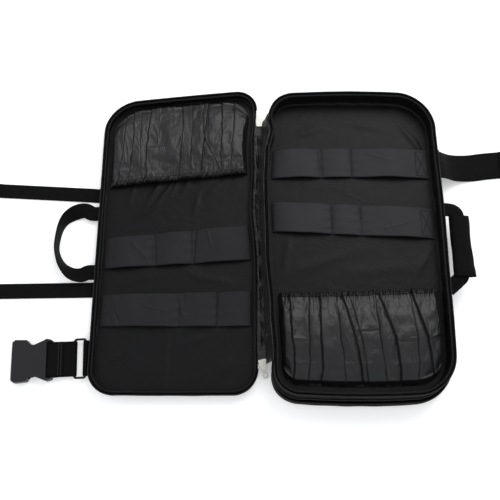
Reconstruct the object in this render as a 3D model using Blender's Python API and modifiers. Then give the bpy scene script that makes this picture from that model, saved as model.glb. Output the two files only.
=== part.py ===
"""Knife roll for a cook's knives, unzipped and laid open on a table, inside up.

The flat cover lies on the left and the deeper tray, with a zipped pouch under it, on the right. A cloth
spine joins them. Everything is in metres, +Z up, with the table at z = 0 and +Y away from the near edge.

Each half is first built square, in plan, and then laid: cover_lay and tray_lay move every point of a half
together, so that the pieces nested in it keep their clearances.
"""

import math

import bmesh
import bpy
from mathutils import Matrix, Vector

# Cloth, webbing and fits
CLEARANCE = 0.0003
PADDED_WALL = 0.003
LINING = 0.001
POCKET_CLOTH = 0.0012
ELASTIC_BAND = 0.0015
WEBBING = 0.0016
PIPING_RADIUS = 0.0018
TAPE = 0.0012
STRAP_REACH = 0.385

# Cover: the flat half
COVER_RIGHT = 0.013
COVER_WIDTH = 0.2325
COVER_NEAR = -0.2235
COVER_LENGTH = 0.438
COVER_HEIGHT = 0.013
COVER_RISE = 0.025
COVER_CROWN = 0.001
COVER_CORNERS = {"near_right": 0.036, "far_right": 0.036, "far_left": 0.050, "near_left": 0.036}
COVER_LEAN = 0.0004
COVER_LINING_LEAN = 0.0003

# Tray: the deep half, on top of the pouch
TRAY_LEFT = 0.021
TRAY_WIDTH = 0.248
TRAY_NEAR = -0.225
TRAY_LENGTH = 0.436
TRAY_FLOOR = 0.0223
TRAY_HEIGHT = 0.047
TRAY_CROWN = 0.005
TRAY_BULGE = 0.003
TRAY_CORNERS = {"near_right": 0.052, "far_right": 0.055, "far_left": 0.042, "near_left": 0.040}

# Pouch: how far it stands out beyond the tray, and its wall
POUCH_OUT = {"left": 0.000, "right": 0.003, "near": 0.006, "far": 0.001}
POUCH_WALL_HEIGHT = 0.0155
POUCH_TUCK = 0.0012
POUCH_FOOT = (0.0040, 0.0025)

# Walls: the inset and rise of a rounded foot, how far a wall leans out, and what stands on its rim
WALL_FOOT = (0.0025, 0.002)
WALL_LEAN = 0.001
LINING_FOOT = 0.0005
LINING_FILLET = 0.001
ZIP_OVERHANG = 0.0025
ZIP_HEIGHT = 0.005
RIM_HEM = 0.0015
PIPING_SEAT = 0.0006

# Straps, handles and buckle
NARROW_STRAP = 0.022
TRAY_STRAP = 0.043
BUCKLE_WEBBING = 0.048
UPPER_STRAP_Y = (0.069, 0.078)
LOWER_STRAP_Y = (-0.0745, -0.077)
TRAY_STRAP_Y = (0.107, 0.119)
TRAY_STRAP_SEAM = 0.041
HEM_LENGTH = 0.009
HANDLE_FAR = 0.041
HANDLE_SPAN = 0.093
HANDLE_REACH = 0.058
GRIP_LENGTH = 0.088
GRIP_WIDTH = 0.030
GRIP_THICKNESS = 0.013
GRIP_GAP = 0.0065
GRIP_WEBBING = 0.020
GRIP_HEIGHT = 0.034
GRIP_FAR = 0.024
GRIP_TUNNEL = (0.0016, 0.0009)
RING_WIRE = 0.0016
RING_PITCH = 0.0148
BUCKLE_LENGTH = 0.056
BUCKLE_THICKNESS = 0.012
BUCKLE_PITCH = 0.0315
BUCKLE_TURN = math.radians(3.0)
BUCKLE_SHOULDER = 0.0045
BUCKLE_MOUTH = 0.031
SOCKET_WALL = 0.0018
SOCKET_SIDE = 0.005
BAR_HALF = 0.0033
LOOP_RAMP = 0.006
LOOP_EASE = 0.001
CUT_OVER = 0.004
RING_CORNER = 0.003
SOFT_EDGE = 0.0006

# Zip sliders and their pulls
SLIDER_LENGTH = 0.015
SLIDER_WIDTH = 0.011
SLIDER_NOSE = 0.008
SLIDER_PLATE = 0.0012
SLIDER_CHAMFER = 0.001
SLIDER_POST = 0.0035
CROWN_WIDTH = 0.0024
CROWN_HEIGHT = 0.004
CROWN_BAR = 0.001
CROWN_LENGTH = 0.0105
PULL_LENGTH = 0.016
PULL_WIDTH = 0.0072
PULL_THICKNESS = 0.0012
PULL_BAR = 0.0014
PULL_DROOP = math.radians(30.0)

# Spine: where it starts and ends, as shares of the cover's length, and its puckers
SPINE_START = 0.098
SPINE_END = 0.872
SPINE_VALLEY = 0.012
SPINE_STEPS = 22
SPINE_PUCKER = 0.0016
SPINE_PUCKERS = 13

# Elastic bands and gathered pockets
BAND_WIDTH = 0.044
BAND_INSET = 0.012
BAND_SLACK = 0.0062
BAND_STEPS = 5
POCKET_INSET = 0.0135
COVER_POCKET_LIFT = 0.011
TRAY_POCKET_LIFT = 0.015
COVER_POCKET_FOOT = 0.009
TRAY_POCKET_FOOT = 0.017
COVER_POCKET_CORNERS = {"left": 0.046, "right": 0.034}
TRAY_POCKET_CORNERS = {"left": 0.026, "right": 0.034}
COVER_MOUTH = 0.0845
TRAY_MOUTH = -0.087
TRAY_MOUTH_SLANT = 0.006
FOLD_HALF_SHARE = 0.012
RUFFLE = 0.0006
ELASTIC_DEPTH = 0.0050
ELASTIC_HEIGHT = 0.0024

# Where smaller pieces sit
TAB_Y = -0.1715
TAB_LENGTH = 0.0072
TAB_TAIL = 0.003
UPPER_SLIDER_X = 0.0150
LOWER_SLIDER_X = 0.0178
SLIDER_SEAT = 0.0012
LOWER_YAW = math.radians(14.0)

# Faceting
GRIP_SIDES = 12
HEM_STEPS = 4
CORNER_STEPS = 5
LONG_STEPS = 8
SHORT_STEPS = 2

# Sideways sway of the cover's spine edge: share of the length from the near end, share of the width
COVER_SWAY = ((0.0, 0.0), (0.38, 0.0), (0.57, -0.026), (0.68, -0.017), (0.79, -0.020), (0.92, -0.004), (1.0, 0.0))
# Sideways sway of the tray's spine edge, in the same columns
TRAY_SWAY = ((0.0, 0.016), (0.12, 0.038), (0.25, 0.024), (0.45, 0.0), (0.68, -0.008), (0.79, 0.0), (0.87, 0.030),
             (0.94, 0.012), (1.0, 0.0))
# Rise and fall of the rims, as a share of the wall's height: share of the length, share of the height
RIM_RIPPLE = ((0.0, 0.02), (0.2, -0.05), (0.42, 0.03), (0.6, -0.06), (0.8, 0.03), (1.0, -0.02))

PARTS = "knife_roll"

# How much of its wall's lean a lining takes
LINING_LEAN = 0.8

# Sizes that follow from those above
COVER_LEFT = COVER_RIGHT - COVER_WIDTH
COVER_BOX = (COVER_LEFT, COVER_RIGHT, COVER_NEAR, COVER_NEAR + COVER_LENGTH)
TRAY_RIGHT = TRAY_LEFT + TRAY_WIDTH
TRAY_BOX = (TRAY_LEFT, TRAY_RIGHT, TRAY_NEAR, TRAY_NEAR + TRAY_LENGTH)
POUCH_BOX = (TRAY_LEFT - POUCH_OUT["left"], TRAY_RIGHT + POUCH_OUT["right"],
             TRAY_NEAR - POUCH_OUT["near"], TRAY_BOX[3] + POUCH_OUT["far"])
COVER_LINING_TOP = PADDED_WALL + CLEARANCE + LINING
TRAY_FLOOR_TOP = TRAY_FLOOR + PADDED_WALL
TRAY_LINING_TOP = TRAY_FLOOR_TOP + CLEARANCE + LINING
WALL_INSET = ZIP_OVERHANG
INNER_INSET = ZIP_OVERHANG + PADDED_WALL
LINING_INSET = INNER_INSET + CLEARANCE


def between(table, share):
    """The table's second column at this share, eased from row to row."""
    share = min(max(share, table[0][0]), table[-1][0])
    for (start, first), (end, last) in zip(table, table[1:]):
        if share <= end:
            return first + (last - first) * eased((share - start) / (end - start))
    return table[-1][1]


def eased(t):
    t = min(max(t, 0.0), 1.0)
    return t * t * (3.0 - 2.0 * t)


def cover_lay(x, y, z):
    """A point of the square cover, moved to where the cloth lies: the far edge slants and the rim ripples."""
    across = (x - (COVER_RIGHT - COVER_WIDTH)) / COVER_WIDTH
    along = (y - COVER_NEAR) / COVER_LENGTH
    lift = max(0.0, z - PADDED_WALL - CLEARANCE - LINING) * between(RIM_RIPPLE, along)
    slant = COVER_RISE * across * eased((along - 0.22) / 0.33)
    crown = COVER_CROWN * (2.0 * along - 1.0) * math.sin(math.pi * min(max(across, 0.0), 1.0))
    return x + COVER_WIDTH * between(COVER_SWAY, along) * across, y + slant + crown, z + lift


def tray_lay(x, y, z):
    """A point of the square tray or pouch, moved to where the cloth lies."""
    across = min(max((x - TRAY_LEFT) / TRAY_WIDTH, 0.0), 1.0)
    along = (y - TRAY_NEAR) / TRAY_LENGTH
    lift = max(0.0, z - TRAY_LINING_TOP) * between(RIM_RIPPLE, 1.0 - along)
    sway = TRAY_WIDTH * between(TRAY_SWAY, along) * (1.0 - across) ** 2
    bulge = TRAY_BULGE * math.sin(math.pi * min(max(along, 0.0), 1.0)) * across
    crown = TRAY_CROWN * (2.0 * along - 1.0) * math.sin(math.pi * across)
    return x + sway + bulge, y + crown, z + lift


def clear_scene():
    for old in list(bpy.data.objects):
        bpy.data.objects.remove(old, do_unlink=True)
    for name in (PARTS, "cutters"):
        bpy.context.scene.collection.children.link(bpy.data.collections.new(name))


def finish(name, colour, roughness, metallic=0.0):
    """A plain material: the piece's colour, roughness and metallic value."""
    material = bpy.data.materials.new(name)
    material.use_nodes = True
    shader = material.node_tree.nodes["Principled BSDF"]
    shader.inputs["Base Color"].default_value = (*colour, 1.0)
    shader.inputs["Roughness"].default_value = roughness
    shader.inputs["Metallic"].default_value = metallic
    return material


def add(name, mesh, material, collection=PARTS):
    piece = bpy.data.objects.new(name, mesh)
    mesh.materials.clear()
    mesh.materials.append(material)
    bpy.data.collections[collection].objects.link(piece)
    return piece


def mesh_of(name, body):
    """A bmesh as a mesh whose faces point outwards."""
    bmesh.ops.recalc_face_normals(body, faces=body.faces[:])
    mesh = bpy.data.meshes.new(name)
    body.to_mesh(mesh)
    body.free()
    return mesh


def loft(rings, closed_rings=True, closed_run=False):
    """A closed body through sections with equal numbers of points. Without closed_run, its ends are capped."""
    body = bmesh.new()
    rows = [[body.verts.new(point) for point in ring] for ring in rings]
    runs = list(zip(rows, rows[1:] + rows[:1])) if closed_run else list(zip(rows, rows[1:]))
    count = len(rows[0])
    for low, high in runs:
        for i in range(count if closed_rings else count - 1):
            j = (i + 1) % count
            body.faces.new((low[i], low[j], high[j], high[i]))
    if not closed_run:
        body.faces.new(rows[0][::-1])
        body.faces.new(rows[-1])
    return body


def sheet(rows, thickness, upwards=Vector((0.0, 0.0, 1.0))):
    """A cloth wall over a grid of points, thickened along one direction."""
    body = bmesh.new()
    grid = [[body.verts.new(point) for point in row] for row in rows]
    for low, high in zip(grid, grid[1:]):
        for i in range(len(low) - 1):
            body.faces.new((low[i], low[i + 1], high[i + 1], high[i]))
    top = bmesh.ops.extrude_face_region(body, geom=body.faces[:])["geom"]
    moved = [item for item in top if isinstance(item, bmesh.types.BMVert)]
    bmesh.ops.translate(body, verts=moved, vec=upwards * thickness)
    return body


def laid(body, lay):
    for vert in body.verts:
        vert.co = lay(*vert.co)
    return body


def outline(box, corners, inset):
    """Points round a rectangle with round corners, moved in by inset, counter-clockwise from the near right."""
    left, right, near, far = box[0] + inset, box[1] - inset, box[2] + inset, box[3] - inset
    places = (("near_right", right, near, -90, LONG_STEPS), ("far_right", right, far, 0, SHORT_STEPS),
              ("far_left", left, far, 90, LONG_STEPS), ("near_left", left, near, 180, SHORT_STEPS))
    arcs = []
    for name, x, y, start, _ in places:
        radius = corners[name] - inset
        centre_x = x - math.copysign(radius, x - left - (right - left) / 2)
        centre_y = y - math.copysign(radius, y - near - (far - near) / 2)
        turns = [math.radians(start + 90.0 * step / CORNER_STEPS) for step in range(CORNER_STEPS + 1)]
        arcs.append([(centre_x + radius * math.cos(a), centre_y + radius * math.sin(a)) for a in turns])
    points = []
    for place, arc, after in zip(places, arcs, arcs[1:] + arcs[:1]):
        points += arc
        steps = place[4]
        (x0, y0), (x1, y1) = arc[-1], after[0]
        points += [(x0 + (x1 - x0) * i / steps, y0 + (y1 - y0) * i / steps) for i in range(1, steps)]
    return points


def ring(box, corners, inset, height):
    return [(x, y, height) for x, y in outline(box, corners, inset)]


def three_sides(points, spine):
    """The outline without its spine side, from one end of that side round to the other."""
    arc = CORNER_STEPS + 1
    start = arc + LONG_STEPS - 1 if spine == "right" else len(points) - arc - SHORT_STEPS + 1
    turned = points[start:] + points[:start]
    return turned[:len(points) - LONG_STEPS + 1]


def side_line(box, corners, inset, lay, side):
    """The laid outline's left or right half, from near to far, for pieces that lie against that wall."""
    middle = (box[0] + box[1]) / 2
    points = [point for point in outline(box, corners, inset) if (point[0] > middle) == (side == "right")]
    return sorted((lay(x, y, 0.0)[:2] for x, y in points), key=lambda point: point[1])


def x_at(line, y):
    """The x of a side line at this y, straight between its points as the wall's faces are."""
    for (x0, y0), (x1, y1) in zip(line, line[1:]):
        if y <= y1:
            return x0 + (x1 - x0) * max(0.0, y - y0) / (y1 - y0)
    return line[-1][0]


def tray_with_walls(name, box, corners, lay, sections, material):
    """A padded half as one open-topped body. Sections run up the outside and down the inside: inset, height."""
    rings = [ring(box, corners, inset, height) for inset, height in sections]
    return add(name, mesh_of(name, laid(loft(rings), lay)), material)


def along_outline(name, box, corners, lay, section, material, spine=None):
    """A strip that follows a rim. Its section is a loop of inset and height; with a spine side it leaves that out."""
    lines = [ring(box, corners, inset, height) for inset, height in section]
    if spine:
        lines = [three_sides(line, spine) for line in lines]
    rings = [list(points) for points in zip(*lines)]
    return add(name, mesh_of(name, laid(loft(rings, closed_run=spine is None), lay)), material)


def piping_section(inset, height):
    turns = [math.radians(60.0 * i + 30.0) for i in range(6)]
    return [(inset + PIPING_RADIUS * math.cos(a), height + PIPING_RADIUS * math.sin(a)) for a in turns]


def zip_section(foot):
    """Half a zip standing on the wall's outer edge and leaning out, with its teeth along the top."""
    return [(ZIP_OVERHANG + TAPE, foot), (ZIP_OVERHANG, foot), (0.0, foot + 0.6 * ZIP_HEIGHT),
            (0.0, foot + ZIP_HEIGHT), (ZIP_OVERHANG * 0.9, foot + ZIP_HEIGHT)]


def half_sections(floor, floor_top, top, lean):
    """Outside and inside of a padded half: a rounded foot, a wall that leans out by lean, and its rim."""
    middle = (floor + top) / 2
    return ((WALL_INSET + WALL_FOOT[0], floor), (WALL_INSET, floor + WALL_FOOT[1]), (WALL_INSET - lean, middle),
            (WALL_INSET, top), (INNER_INSET, top), (INNER_INSET - lean, middle), (INNER_INSET, floor_top))


def lining_sections(floor_top, top, lean):
    """The lining against the inside of those walls and over the floor."""
    foot = floor_top + CLEARANCE
    middle = (foot + top) / 2
    inner = LINING_INSET + LINING
    lean *= LINING_LEAN
    return ((LINING_INSET + LINING_FOOT, foot), (LINING_INSET - lean, middle), (LINING_INSET, top),
            (inner, top), (inner - lean, middle), (inner + LINING_FILLET, foot + LINING))


def make_cover(nylon, lining, binding, zip_black):
    sections = half_sections(0.0, PADDED_WALL, COVER_HEIGHT, COVER_LEAN)
    tray_with_walls("cover_shell", COVER_BOX, COVER_CORNERS, cover_lay, sections, nylon)
    sections = lining_sections(PADDED_WALL, COVER_HEIGHT - RIM_HEM, COVER_LINING_LEAN)
    tray_with_walls("cover_lining", COVER_BOX, COVER_CORNERS, cover_lay, sections, lining)
    section = piping_section(INNER_INSET + PIPING_SEAT, COVER_HEIGHT + CLEARANCE + PIPING_RADIUS)
    along_outline("cover_binding", COVER_BOX, COVER_CORNERS, cover_lay, section, binding)
    section = zip_section(COVER_HEIGHT + CLEARANCE)
    along_outline("cover_zip_tape", COVER_BOX, COVER_CORNERS, cover_lay, section, zip_black, "right")


def make_tray(nylon, lining, binding, zip_black):
    sections = half_sections(TRAY_FLOOR, TRAY_FLOOR_TOP, TRAY_HEIGHT, WALL_LEAN)
    tray_with_walls("tray_shell", TRAY_BOX, TRAY_CORNERS, tray_lay, sections, nylon)
    sections = lining_sections(TRAY_FLOOR_TOP, TRAY_HEIGHT - RIM_HEM, WALL_LEAN)
    tray_with_walls("tray_lining", TRAY_BOX, TRAY_CORNERS, tray_lay, sections, lining)
    section = piping_section(INNER_INSET + PIPING_SEAT, TRAY_HEIGHT + CLEARANCE + PIPING_RADIUS)
    along_outline("tray_binding", TRAY_BOX, TRAY_CORNERS, tray_lay, section, binding)
    section = zip_section(TRAY_HEIGHT + CLEARANCE)
    along_outline("tray_zip_tape", TRAY_BOX, TRAY_CORNERS, tray_lay, section, zip_black, "left")


def make_pouch(nylon, binding, zip_black):
    """The closed pouch under the tray: its bottom panel and wall, the shut zip above, and the piping between."""
    middle = POUCH_WALL_HEIGHT / 2
    sections = ((POUCH_FOOT[0], 0.0), (WALL_LEAN, POUCH_FOOT[1]), (0.0, middle), (POUCH_TUCK, POUCH_WALL_HEIGHT),
                (POUCH_TUCK + PADDED_WALL, POUCH_WALL_HEIGHT), (PADDED_WALL, middle),
                (WALL_LEAN + PADDED_WALL, PADDED_WALL))
    tray_with_walls("back_pouch_shell", POUCH_BOX, TRAY_CORNERS, tray_lay, sections, nylon)
    foot = POUCH_WALL_HEIGHT + CLEARANCE
    top = TRAY_FLOOR - CLEARANCE
    lines = [ring(POUCH_BOX, TRAY_CORNERS, POUCH_TUCK + 1.6 * TAPE, foot),
             ring(POUCH_BOX, TRAY_CORNERS, POUCH_TUCK, foot),
             ring(TRAY_BOX, TRAY_CORNERS, POUCH_TUCK, top),
             ring(TRAY_BOX, TRAY_CORNERS, POUCH_TUCK + 3 * TAPE, top)]
    rings = [list(points) for points in zip(*lines)]
    body = laid(loft(rings, closed_run=True), tray_lay)
    add("back_pouch_zip_tape", mesh_of("back_pouch_zip_tape", body), zip_black)
    section = piping_section(WALL_INSET - CLEARANCE - PIPING_RADIUS, TRAY_FLOOR + WALL_FOOT[0] + PIPING_RADIUS)
    along_outline("back_pouch_binding", TRAY_BOX, TRAY_CORNERS, tray_lay, section, binding)


# Spine: share across from cover to tray, then its height in the middle of its length and at its two ends, as
# shares of the tray's height
SPINE_PROFILE = ((0.0, 0.223, 0.2553), (0.18, 0.294, 0.2553), (0.36, 0.238, 0.2553), (0.55, 0.319, 0.2553),
                 (0.64, 0.574, 0.2553), (1.0, 0.936, 0.894))


def spine_end_y(share):
    """The spine's edge on the cover, laid, at this share of the cover's length."""
    return cover_lay(COVER_RIGHT, COVER_NEAR + share * COVER_LENGTH, 0.0)[1]


def spine_rows():
    cover_side = side_line(COVER_BOX, COVER_CORNERS, WALL_INSET - WALL_LEAN / 2, cover_lay, "right")
    tray_side = side_line(TRAY_BOX, TRAY_CORNERS, WALL_INSET - WALL_LEAN, tray_lay, "left")
    rows = []
    for step in range(SPINE_STEPS + 1):
        t = step / SPINE_STEPS
        share = SPINE_START + (SPINE_END - SPINE_START) * t
        y = spine_end_y(share)
        x0 = x_at(cover_side, y) + TAPE + CLEARANCE
        x1 = x_at(tray_side, y) - CLEARANCE
        loose = eased((min(t, 1.0 - t) - 0.06) / 0.08)
        pucker = SPINE_PUCKER * math.sin(t * math.pi * SPINE_PUCKERS) * loose
        row = []
        for across, middle, end in SPINE_PROFILE:
            height = TRAY_HEIGHT * (end + (middle - end) * loose)
            free = math.sin(math.pi * across)
            row.append((x0 + (x1 - x0) * across, y, height + pucker * free))
        rows.append(row)
    return rows


def make_spine(lining):
    body = sheet(spine_rows(), TAPE, Vector((-0.6, 0.0, 0.8)))
    add("spine_panel", mesh_of("spine_panel", body), lining)


# Bands: near edge at the left end and at the right end, as shares of the half's length, and the seams between,
# as shares of the band
COVER_BANDS = (("cover_band_upper", 0.4057, 0.4057, (0.33, 0.60)), ("cover_band_lower", 0.2192, 0.2192, (0.52, 0.78)))
TRAY_BANDS = (("tray_band_upper", 0.7099, 0.7099, (0.31, 0.51)), ("tray_band_lower", 0.5229, 0.5000, (0.37, 0.55)))
# Spans under this share of a band stand lower
WIDE_SPAN = 0.3


def make_band(name, box, lay, base, near_left, near_right, seams, material):
    """An elastic band sewn down at its ends and seams, slack between them so that a handle slides under it."""
    left, right = box[0] + BAND_INSET, box[1] - BAND_INSET
    near, length = box[2], box[3] - box[2]
    stops = (0.0, *seams, 1.0)
    columns = [(stops[0], 0.0)]
    for start, end in zip(stops, stops[1:]):
        slack = BAND_SLACK * min(1.0, (end - start) / WIDE_SPAN)
        for step in range(1, BAND_STEPS + 1):
            t = step / BAND_STEPS
            columns.append((start + (end - start) * t, slack * math.sin(math.pi * t) ** 0.7 if t < 1.0 else 0.0))
    rows = []
    for edge in (0.0, 1.0):
        rows.append([(left + (right - left) * u,
                      near + length * (near_left + (near_right - near_left) * u) + BAND_WIDTH * edge,
                      base + CLEARANCE + lift) for u, lift in columns])
    add(name, mesh_of(name, laid(sheet(rows, ELASTIC_BAND), lay)), material)


# Gathered pockets: share across at the sewn foot, share across at the mouth, depth of the fold
COVER_FOLDS = ((0.09, 0.095, 0.50), (0.145, 0.17, 0.35), (0.275, 0.29, 0.50), (0.40, 0.39, 0.20), (0.52, 0.50, 0.50),
               (0.585, 0.59, 0.35), (0.70, 0.67, 0.50), (0.80, 0.815, 0.45), (0.885, 0.88, 0.35))
TRAY_FOLDS = ((0.086, 0.083, 0.40), (0.169, 0.188, 0.35), (0.25, 0.272, 0.45), (0.40, 0.375, 0.30),
              (0.51, 0.425, 0.45), (0.645, 0.59, 0.40), (0.737, 0.635, 0.45), (0.87, 0.795, 0.40), (0.95, 0.845, 0.45))
# Rise of the pocket from its foot to its mouth: share of the way, share of the lift
POCKET_RISE = ((0.0, 0.0), (0.07, 0.55), (0.25, 0.90), (0.55, 1.0), (0.85, 0.90), (1.0, 0.70))


def pocket_columns(folds, v):
    """Places across the pocket at v from foot to mouth, with how full the cloth stands at each."""
    lines = [(foot + (mouth - foot) * v, depth) for foot, mouth, depth in folds]
    columns = [(0.0, 0.0)]
    last = 0.02
    for line, depth in lines:
        columns += [((last + line - FOLD_HALF_SHARE) / 2, 1.0), (line - FOLD_HALF_SHARE, 0.94), (line, 1.0 - depth),
                    (line + FOLD_HALF_SHARE, 0.94)]
        last = line + FOLD_HALF_SHARE
    columns += [((last + 0.98) / 2, 1.0), (1.0, 0.0)]
    return columns


def pocket_row(pocket, v):
    """One row of points across the pocket, from its left side to its right."""
    left, right = pocket["left"], pocket["right"]
    row = []
    for u, full in pocket_columns(pocket["folds"], v):
        x = left + (right - left) * u
        mouth = pocket["mouth_left"] + (pocket["mouth_right"] - pocket["mouth_left"]) * u
        side, radius = min((x - left, pocket["corner_left"]), (right - x, pocket["corner_right"]))
        beyond = min(max(0.0, radius - side), radius)
        rounding = radius - math.sqrt(radius ** 2 - beyond ** 2)
        foot = pocket["foot"] + math.copysign(rounding, mouth - pocket["foot"])
        height = pocket["base"] + pocket["lift"] * between(POCKET_RISE, v) * full
        row.append((x, foot + (mouth - foot) * v, height))
    return row


def make_pocket(name, pocket, lay, cloth, elastic):
    rows = [pocket_row(pocket, v) for v, _ in POCKET_RISE]
    add(name, mesh_of(name, laid(sheet(rows, POCKET_CLOTH), lay)), cloth)
    away = math.copysign(1.0, pocket["mouth_left"] - pocket["foot"])
    rings = []
    for i, (x, y, z) in enumerate(pocket_row(pocket, 1.0)):
        ruffle = RUFFLE * (1 if i % 2 else -1)
        start = y + away * CLEARANCE
        outer = start + away * (ELASTIC_DEPTH + ruffle)
        rings.append(((x, start, z), (x, start, z + POCKET_CLOTH), (x, (start + outer) / 2, z + ELASTIC_HEIGHT + ruffle),
                      (x, outer, z + POCKET_CLOTH), (x, outer, z)))
    add(name + "_elastic", mesh_of(name + "_elastic", laid(loft(rings), lay)), elastic)


def make_pockets(cloth, elastic):
    cover = {"left": COVER_LEFT + POCKET_INSET, "right": COVER_RIGHT - POCKET_INSET,
             "corner_left": COVER_POCKET_CORNERS["left"], "corner_right": COVER_POCKET_CORNERS["right"],
             "foot": COVER_NEAR + COVER_LENGTH - COVER_POCKET_FOOT, "mouth_left": COVER_MOUTH, "mouth_right": COVER_MOUTH,
             "base": COVER_LINING_TOP + CLEARANCE, "lift": COVER_POCKET_LIFT, "folds": COVER_FOLDS}
    make_pocket("cover_pocket", cover, cover_lay, cloth, elastic)
    tray = {"left": TRAY_LEFT + POCKET_INSET, "right": TRAY_RIGHT - POCKET_INSET,
            "corner_left": TRAY_POCKET_CORNERS["left"], "corner_right": TRAY_POCKET_CORNERS["right"],
            "foot": TRAY_NEAR + TRAY_POCKET_FOOT,
            "mouth_left": TRAY_MOUTH - TRAY_MOUTH_SLANT, "mouth_right": TRAY_MOUTH,
            "base": TRAY_LINING_TOP + CLEARANCE, "lift": TRAY_POCKET_LIFT, "folds": TRAY_FOLDS}
    make_pocket("tray_pocket", tray, tray_lay, cloth, elastic)


def make_bands(elastic):
    for name, near_left, near_right, seams in COVER_BANDS:
        make_band(name, COVER_BOX, cover_lay, COVER_LINING_TOP, near_left, near_right, seams, elastic)
    for name, near_left, near_right, seams in TRAY_BANDS:
        make_band(name, TRAY_BOX, tray_lay, TRAY_LINING_TOP, near_left, near_right, seams, elastic)


# A run whose level part is under this share of it goes straight up or down, and keeps the last side
STEEP = 0.05


def ribbon(path, width, thickness, rolls=None):
    """Flat webbing along a path, lying level across it unless a roll turns it about its run."""
    points = [Vector(point) for point in path]
    rings = []
    across = Vector((0.0, -1.0, 0.0))
    for i, point in enumerate(points):
        run = (points[min(i + 1, len(points) - 1)] - points[max(i - 1, 0)]).normalized()
        level = Vector((-run.y, run.x, 0.0))
        if level.length > STEEP:
            across = level.normalized() * math.copysign(1.0, level.dot(across))
        side = Matrix.Rotation(rolls[i] if rolls else 0.0, 3, run) @ across
        up = run.cross(side).normalized()
        half, deep = side * width / 2, up * thickness / 2
        rings.append((point + half - deep, point + half + deep, point - half + deep, point - half - deep))
    return loft(rings)


def hem_path(x_end, y, towards):
    """The free end of a strap on the table, turned back over itself and stitched down as a hem."""
    turn = (WEBBING + CLEARANCE) / 2
    centre = x_end - towards * (turn + WEBBING / 2)
    path = [(centre - towards * HEM_LENGTH, y, WEBBING / 2)]
    for step in range(HEM_STEPS + 1):
        a = math.pi * step / HEM_STEPS - math.pi / 2
        path.append((centre + towards * turn * math.cos(a), y, WEBBING / 2 + turn + turn * math.sin(a)))
    path.append((centre - towards * HEM_LENGTH, y, WEBBING / 2 + 2 * turn))
    return path


def tray_wall_x(y):
    """The outside of the tray's right wall, halfway up, at this distance along."""
    return x_at(side_line(TRAY_BOX, TRAY_CORNERS, WALL_INSET - WALL_LEAN, tray_lay, "right"), y)


# Narrow strap down the cover's wall: share of its width outwards, share of the cover's height
COVER_FALL = ((0.0, 0.808), (0.0, 0.462), (0.055, 0.215), (0.227, 0.0615))
# Wide strap down the tray's wall: share of its width outwards, share of its sideways drift, share of the height
TRAY_FALL = ((0.0, 0.0, 1.0), (0.0, 0.0, 0.854), (0.047, 0.0, 0.744), (0.256, 0.08, 0.620), (0.605, 0.25, 0.300),
             (0.977, 0.42, 0.100), (1.395, 0.60, 0.0195))
# Where a narrow strap's line on the table has its points, as shares of its run
STRAP_STEPS = (0.3, 0.65)


def cover_wall_x():
    """The outside of the cover's left wall, with its clearance."""
    return COVER_LEFT + WALL_INSET - COVER_LEAN - CLEARANCE


def make_straps(webbing):
    wall = cover_wall_x() - WEBBING / 2
    for name, (start_y, end_y) in (("cover_strap_upper", UPPER_STRAP_Y), ("cover_strap_lower", LOWER_STRAP_Y)):
        path = [(wall - NARROW_STRAP * out, start_y, COVER_HEIGHT * up) for out, up in COVER_FALL]
        for share in STRAP_STEPS:
            path.append((wall + (-STRAP_REACH - wall) * share, start_y + (end_y - start_y) * share, WEBBING / 2))
        path += hem_path(-STRAP_REACH, end_y, -1.0)
        add(name, mesh_of(name, ribbon(path, NARROW_STRAP, WEBBING)), webbing)
    start_y, end_y = TRAY_STRAP_Y
    wall = tray_wall_x(start_y) + CLEARANCE + WEBBING / 2
    path = [(wall + TRAY_STRAP * out, start_y + (end_y - start_y) * drift, TRAY_STRAP_SEAM * up)
            for out, drift, up in TRAY_FALL]
    path += hem_path(STRAP_REACH, end_y, 1.0)
    add("tray_strap", mesh_of("tray_strap", ribbon(path, TRAY_STRAP, WEBBING)), webbing)


# Carry handle: share of the span from its far end, share of the reach, turn of the webbing in degrees, height as
# a share of the webbing's width
HANDLE_BENDS = ((0.02, 0.00, 0, 0.273), (0.02, 0.20, 0, 0.250), (-0.03, 0.38, -8, 0.250), (0.00, 0.58, -30, 0.341),
                (0.10, 0.80, -62, 0.464), (0.24, 0.93, -80, 0.509), (0.42, 0.99, -86, 0.514),
                (0.60, 1.00, -86, 0.514), (0.76, 0.93, -78, 0.509), (0.90, 0.80, -60, 0.464),
                (1.00, 0.60, -30, 0.341), (1.02, 0.38, -8, 0.250), (0.98, 0.20, 0, 0.250), (0.98, 0.00, 0, 0.273))


def make_handle(webbing):
    path, rolls = [], []
    for along, out, degrees, height in HANDLE_BENDS:
        path.append((cover_wall_x() - HANDLE_REACH * out, HANDLE_FAR - HANDLE_SPAN * along, NARROW_STRAP * height))
        rolls.append(math.radians(degrees))
    add("cover_handle", mesh_of("cover_handle", ribbon(path, NARROW_STRAP, WEBBING, rolls)), webbing)


# Grip sleeve: share of the length from its far end, share of the outer half width, share of the thickness
GRIP_SHAPE = ((0.0, 1.00, 0.80), (0.10, 1.02, 1.0), (0.45, 0.96, 1.0), (0.80, 1.06, 1.0), (0.93, 1.16, 1.0),
              (1.0, 1.20, 0.80))
# Grip webbing: share of the way out to the grip's middle, share of the length from the far end
GRIP_LOOP = ((0.0, -0.12), (0.30, -0.12), (0.75, -0.115), (1.0, -0.03), (1.0, 0.15), (1.0, 0.50), (1.0, 0.85),
             (1.0, 1.02), (0.70, 1.14), (0.30, 1.20), (0.0, 1.20))


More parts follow.
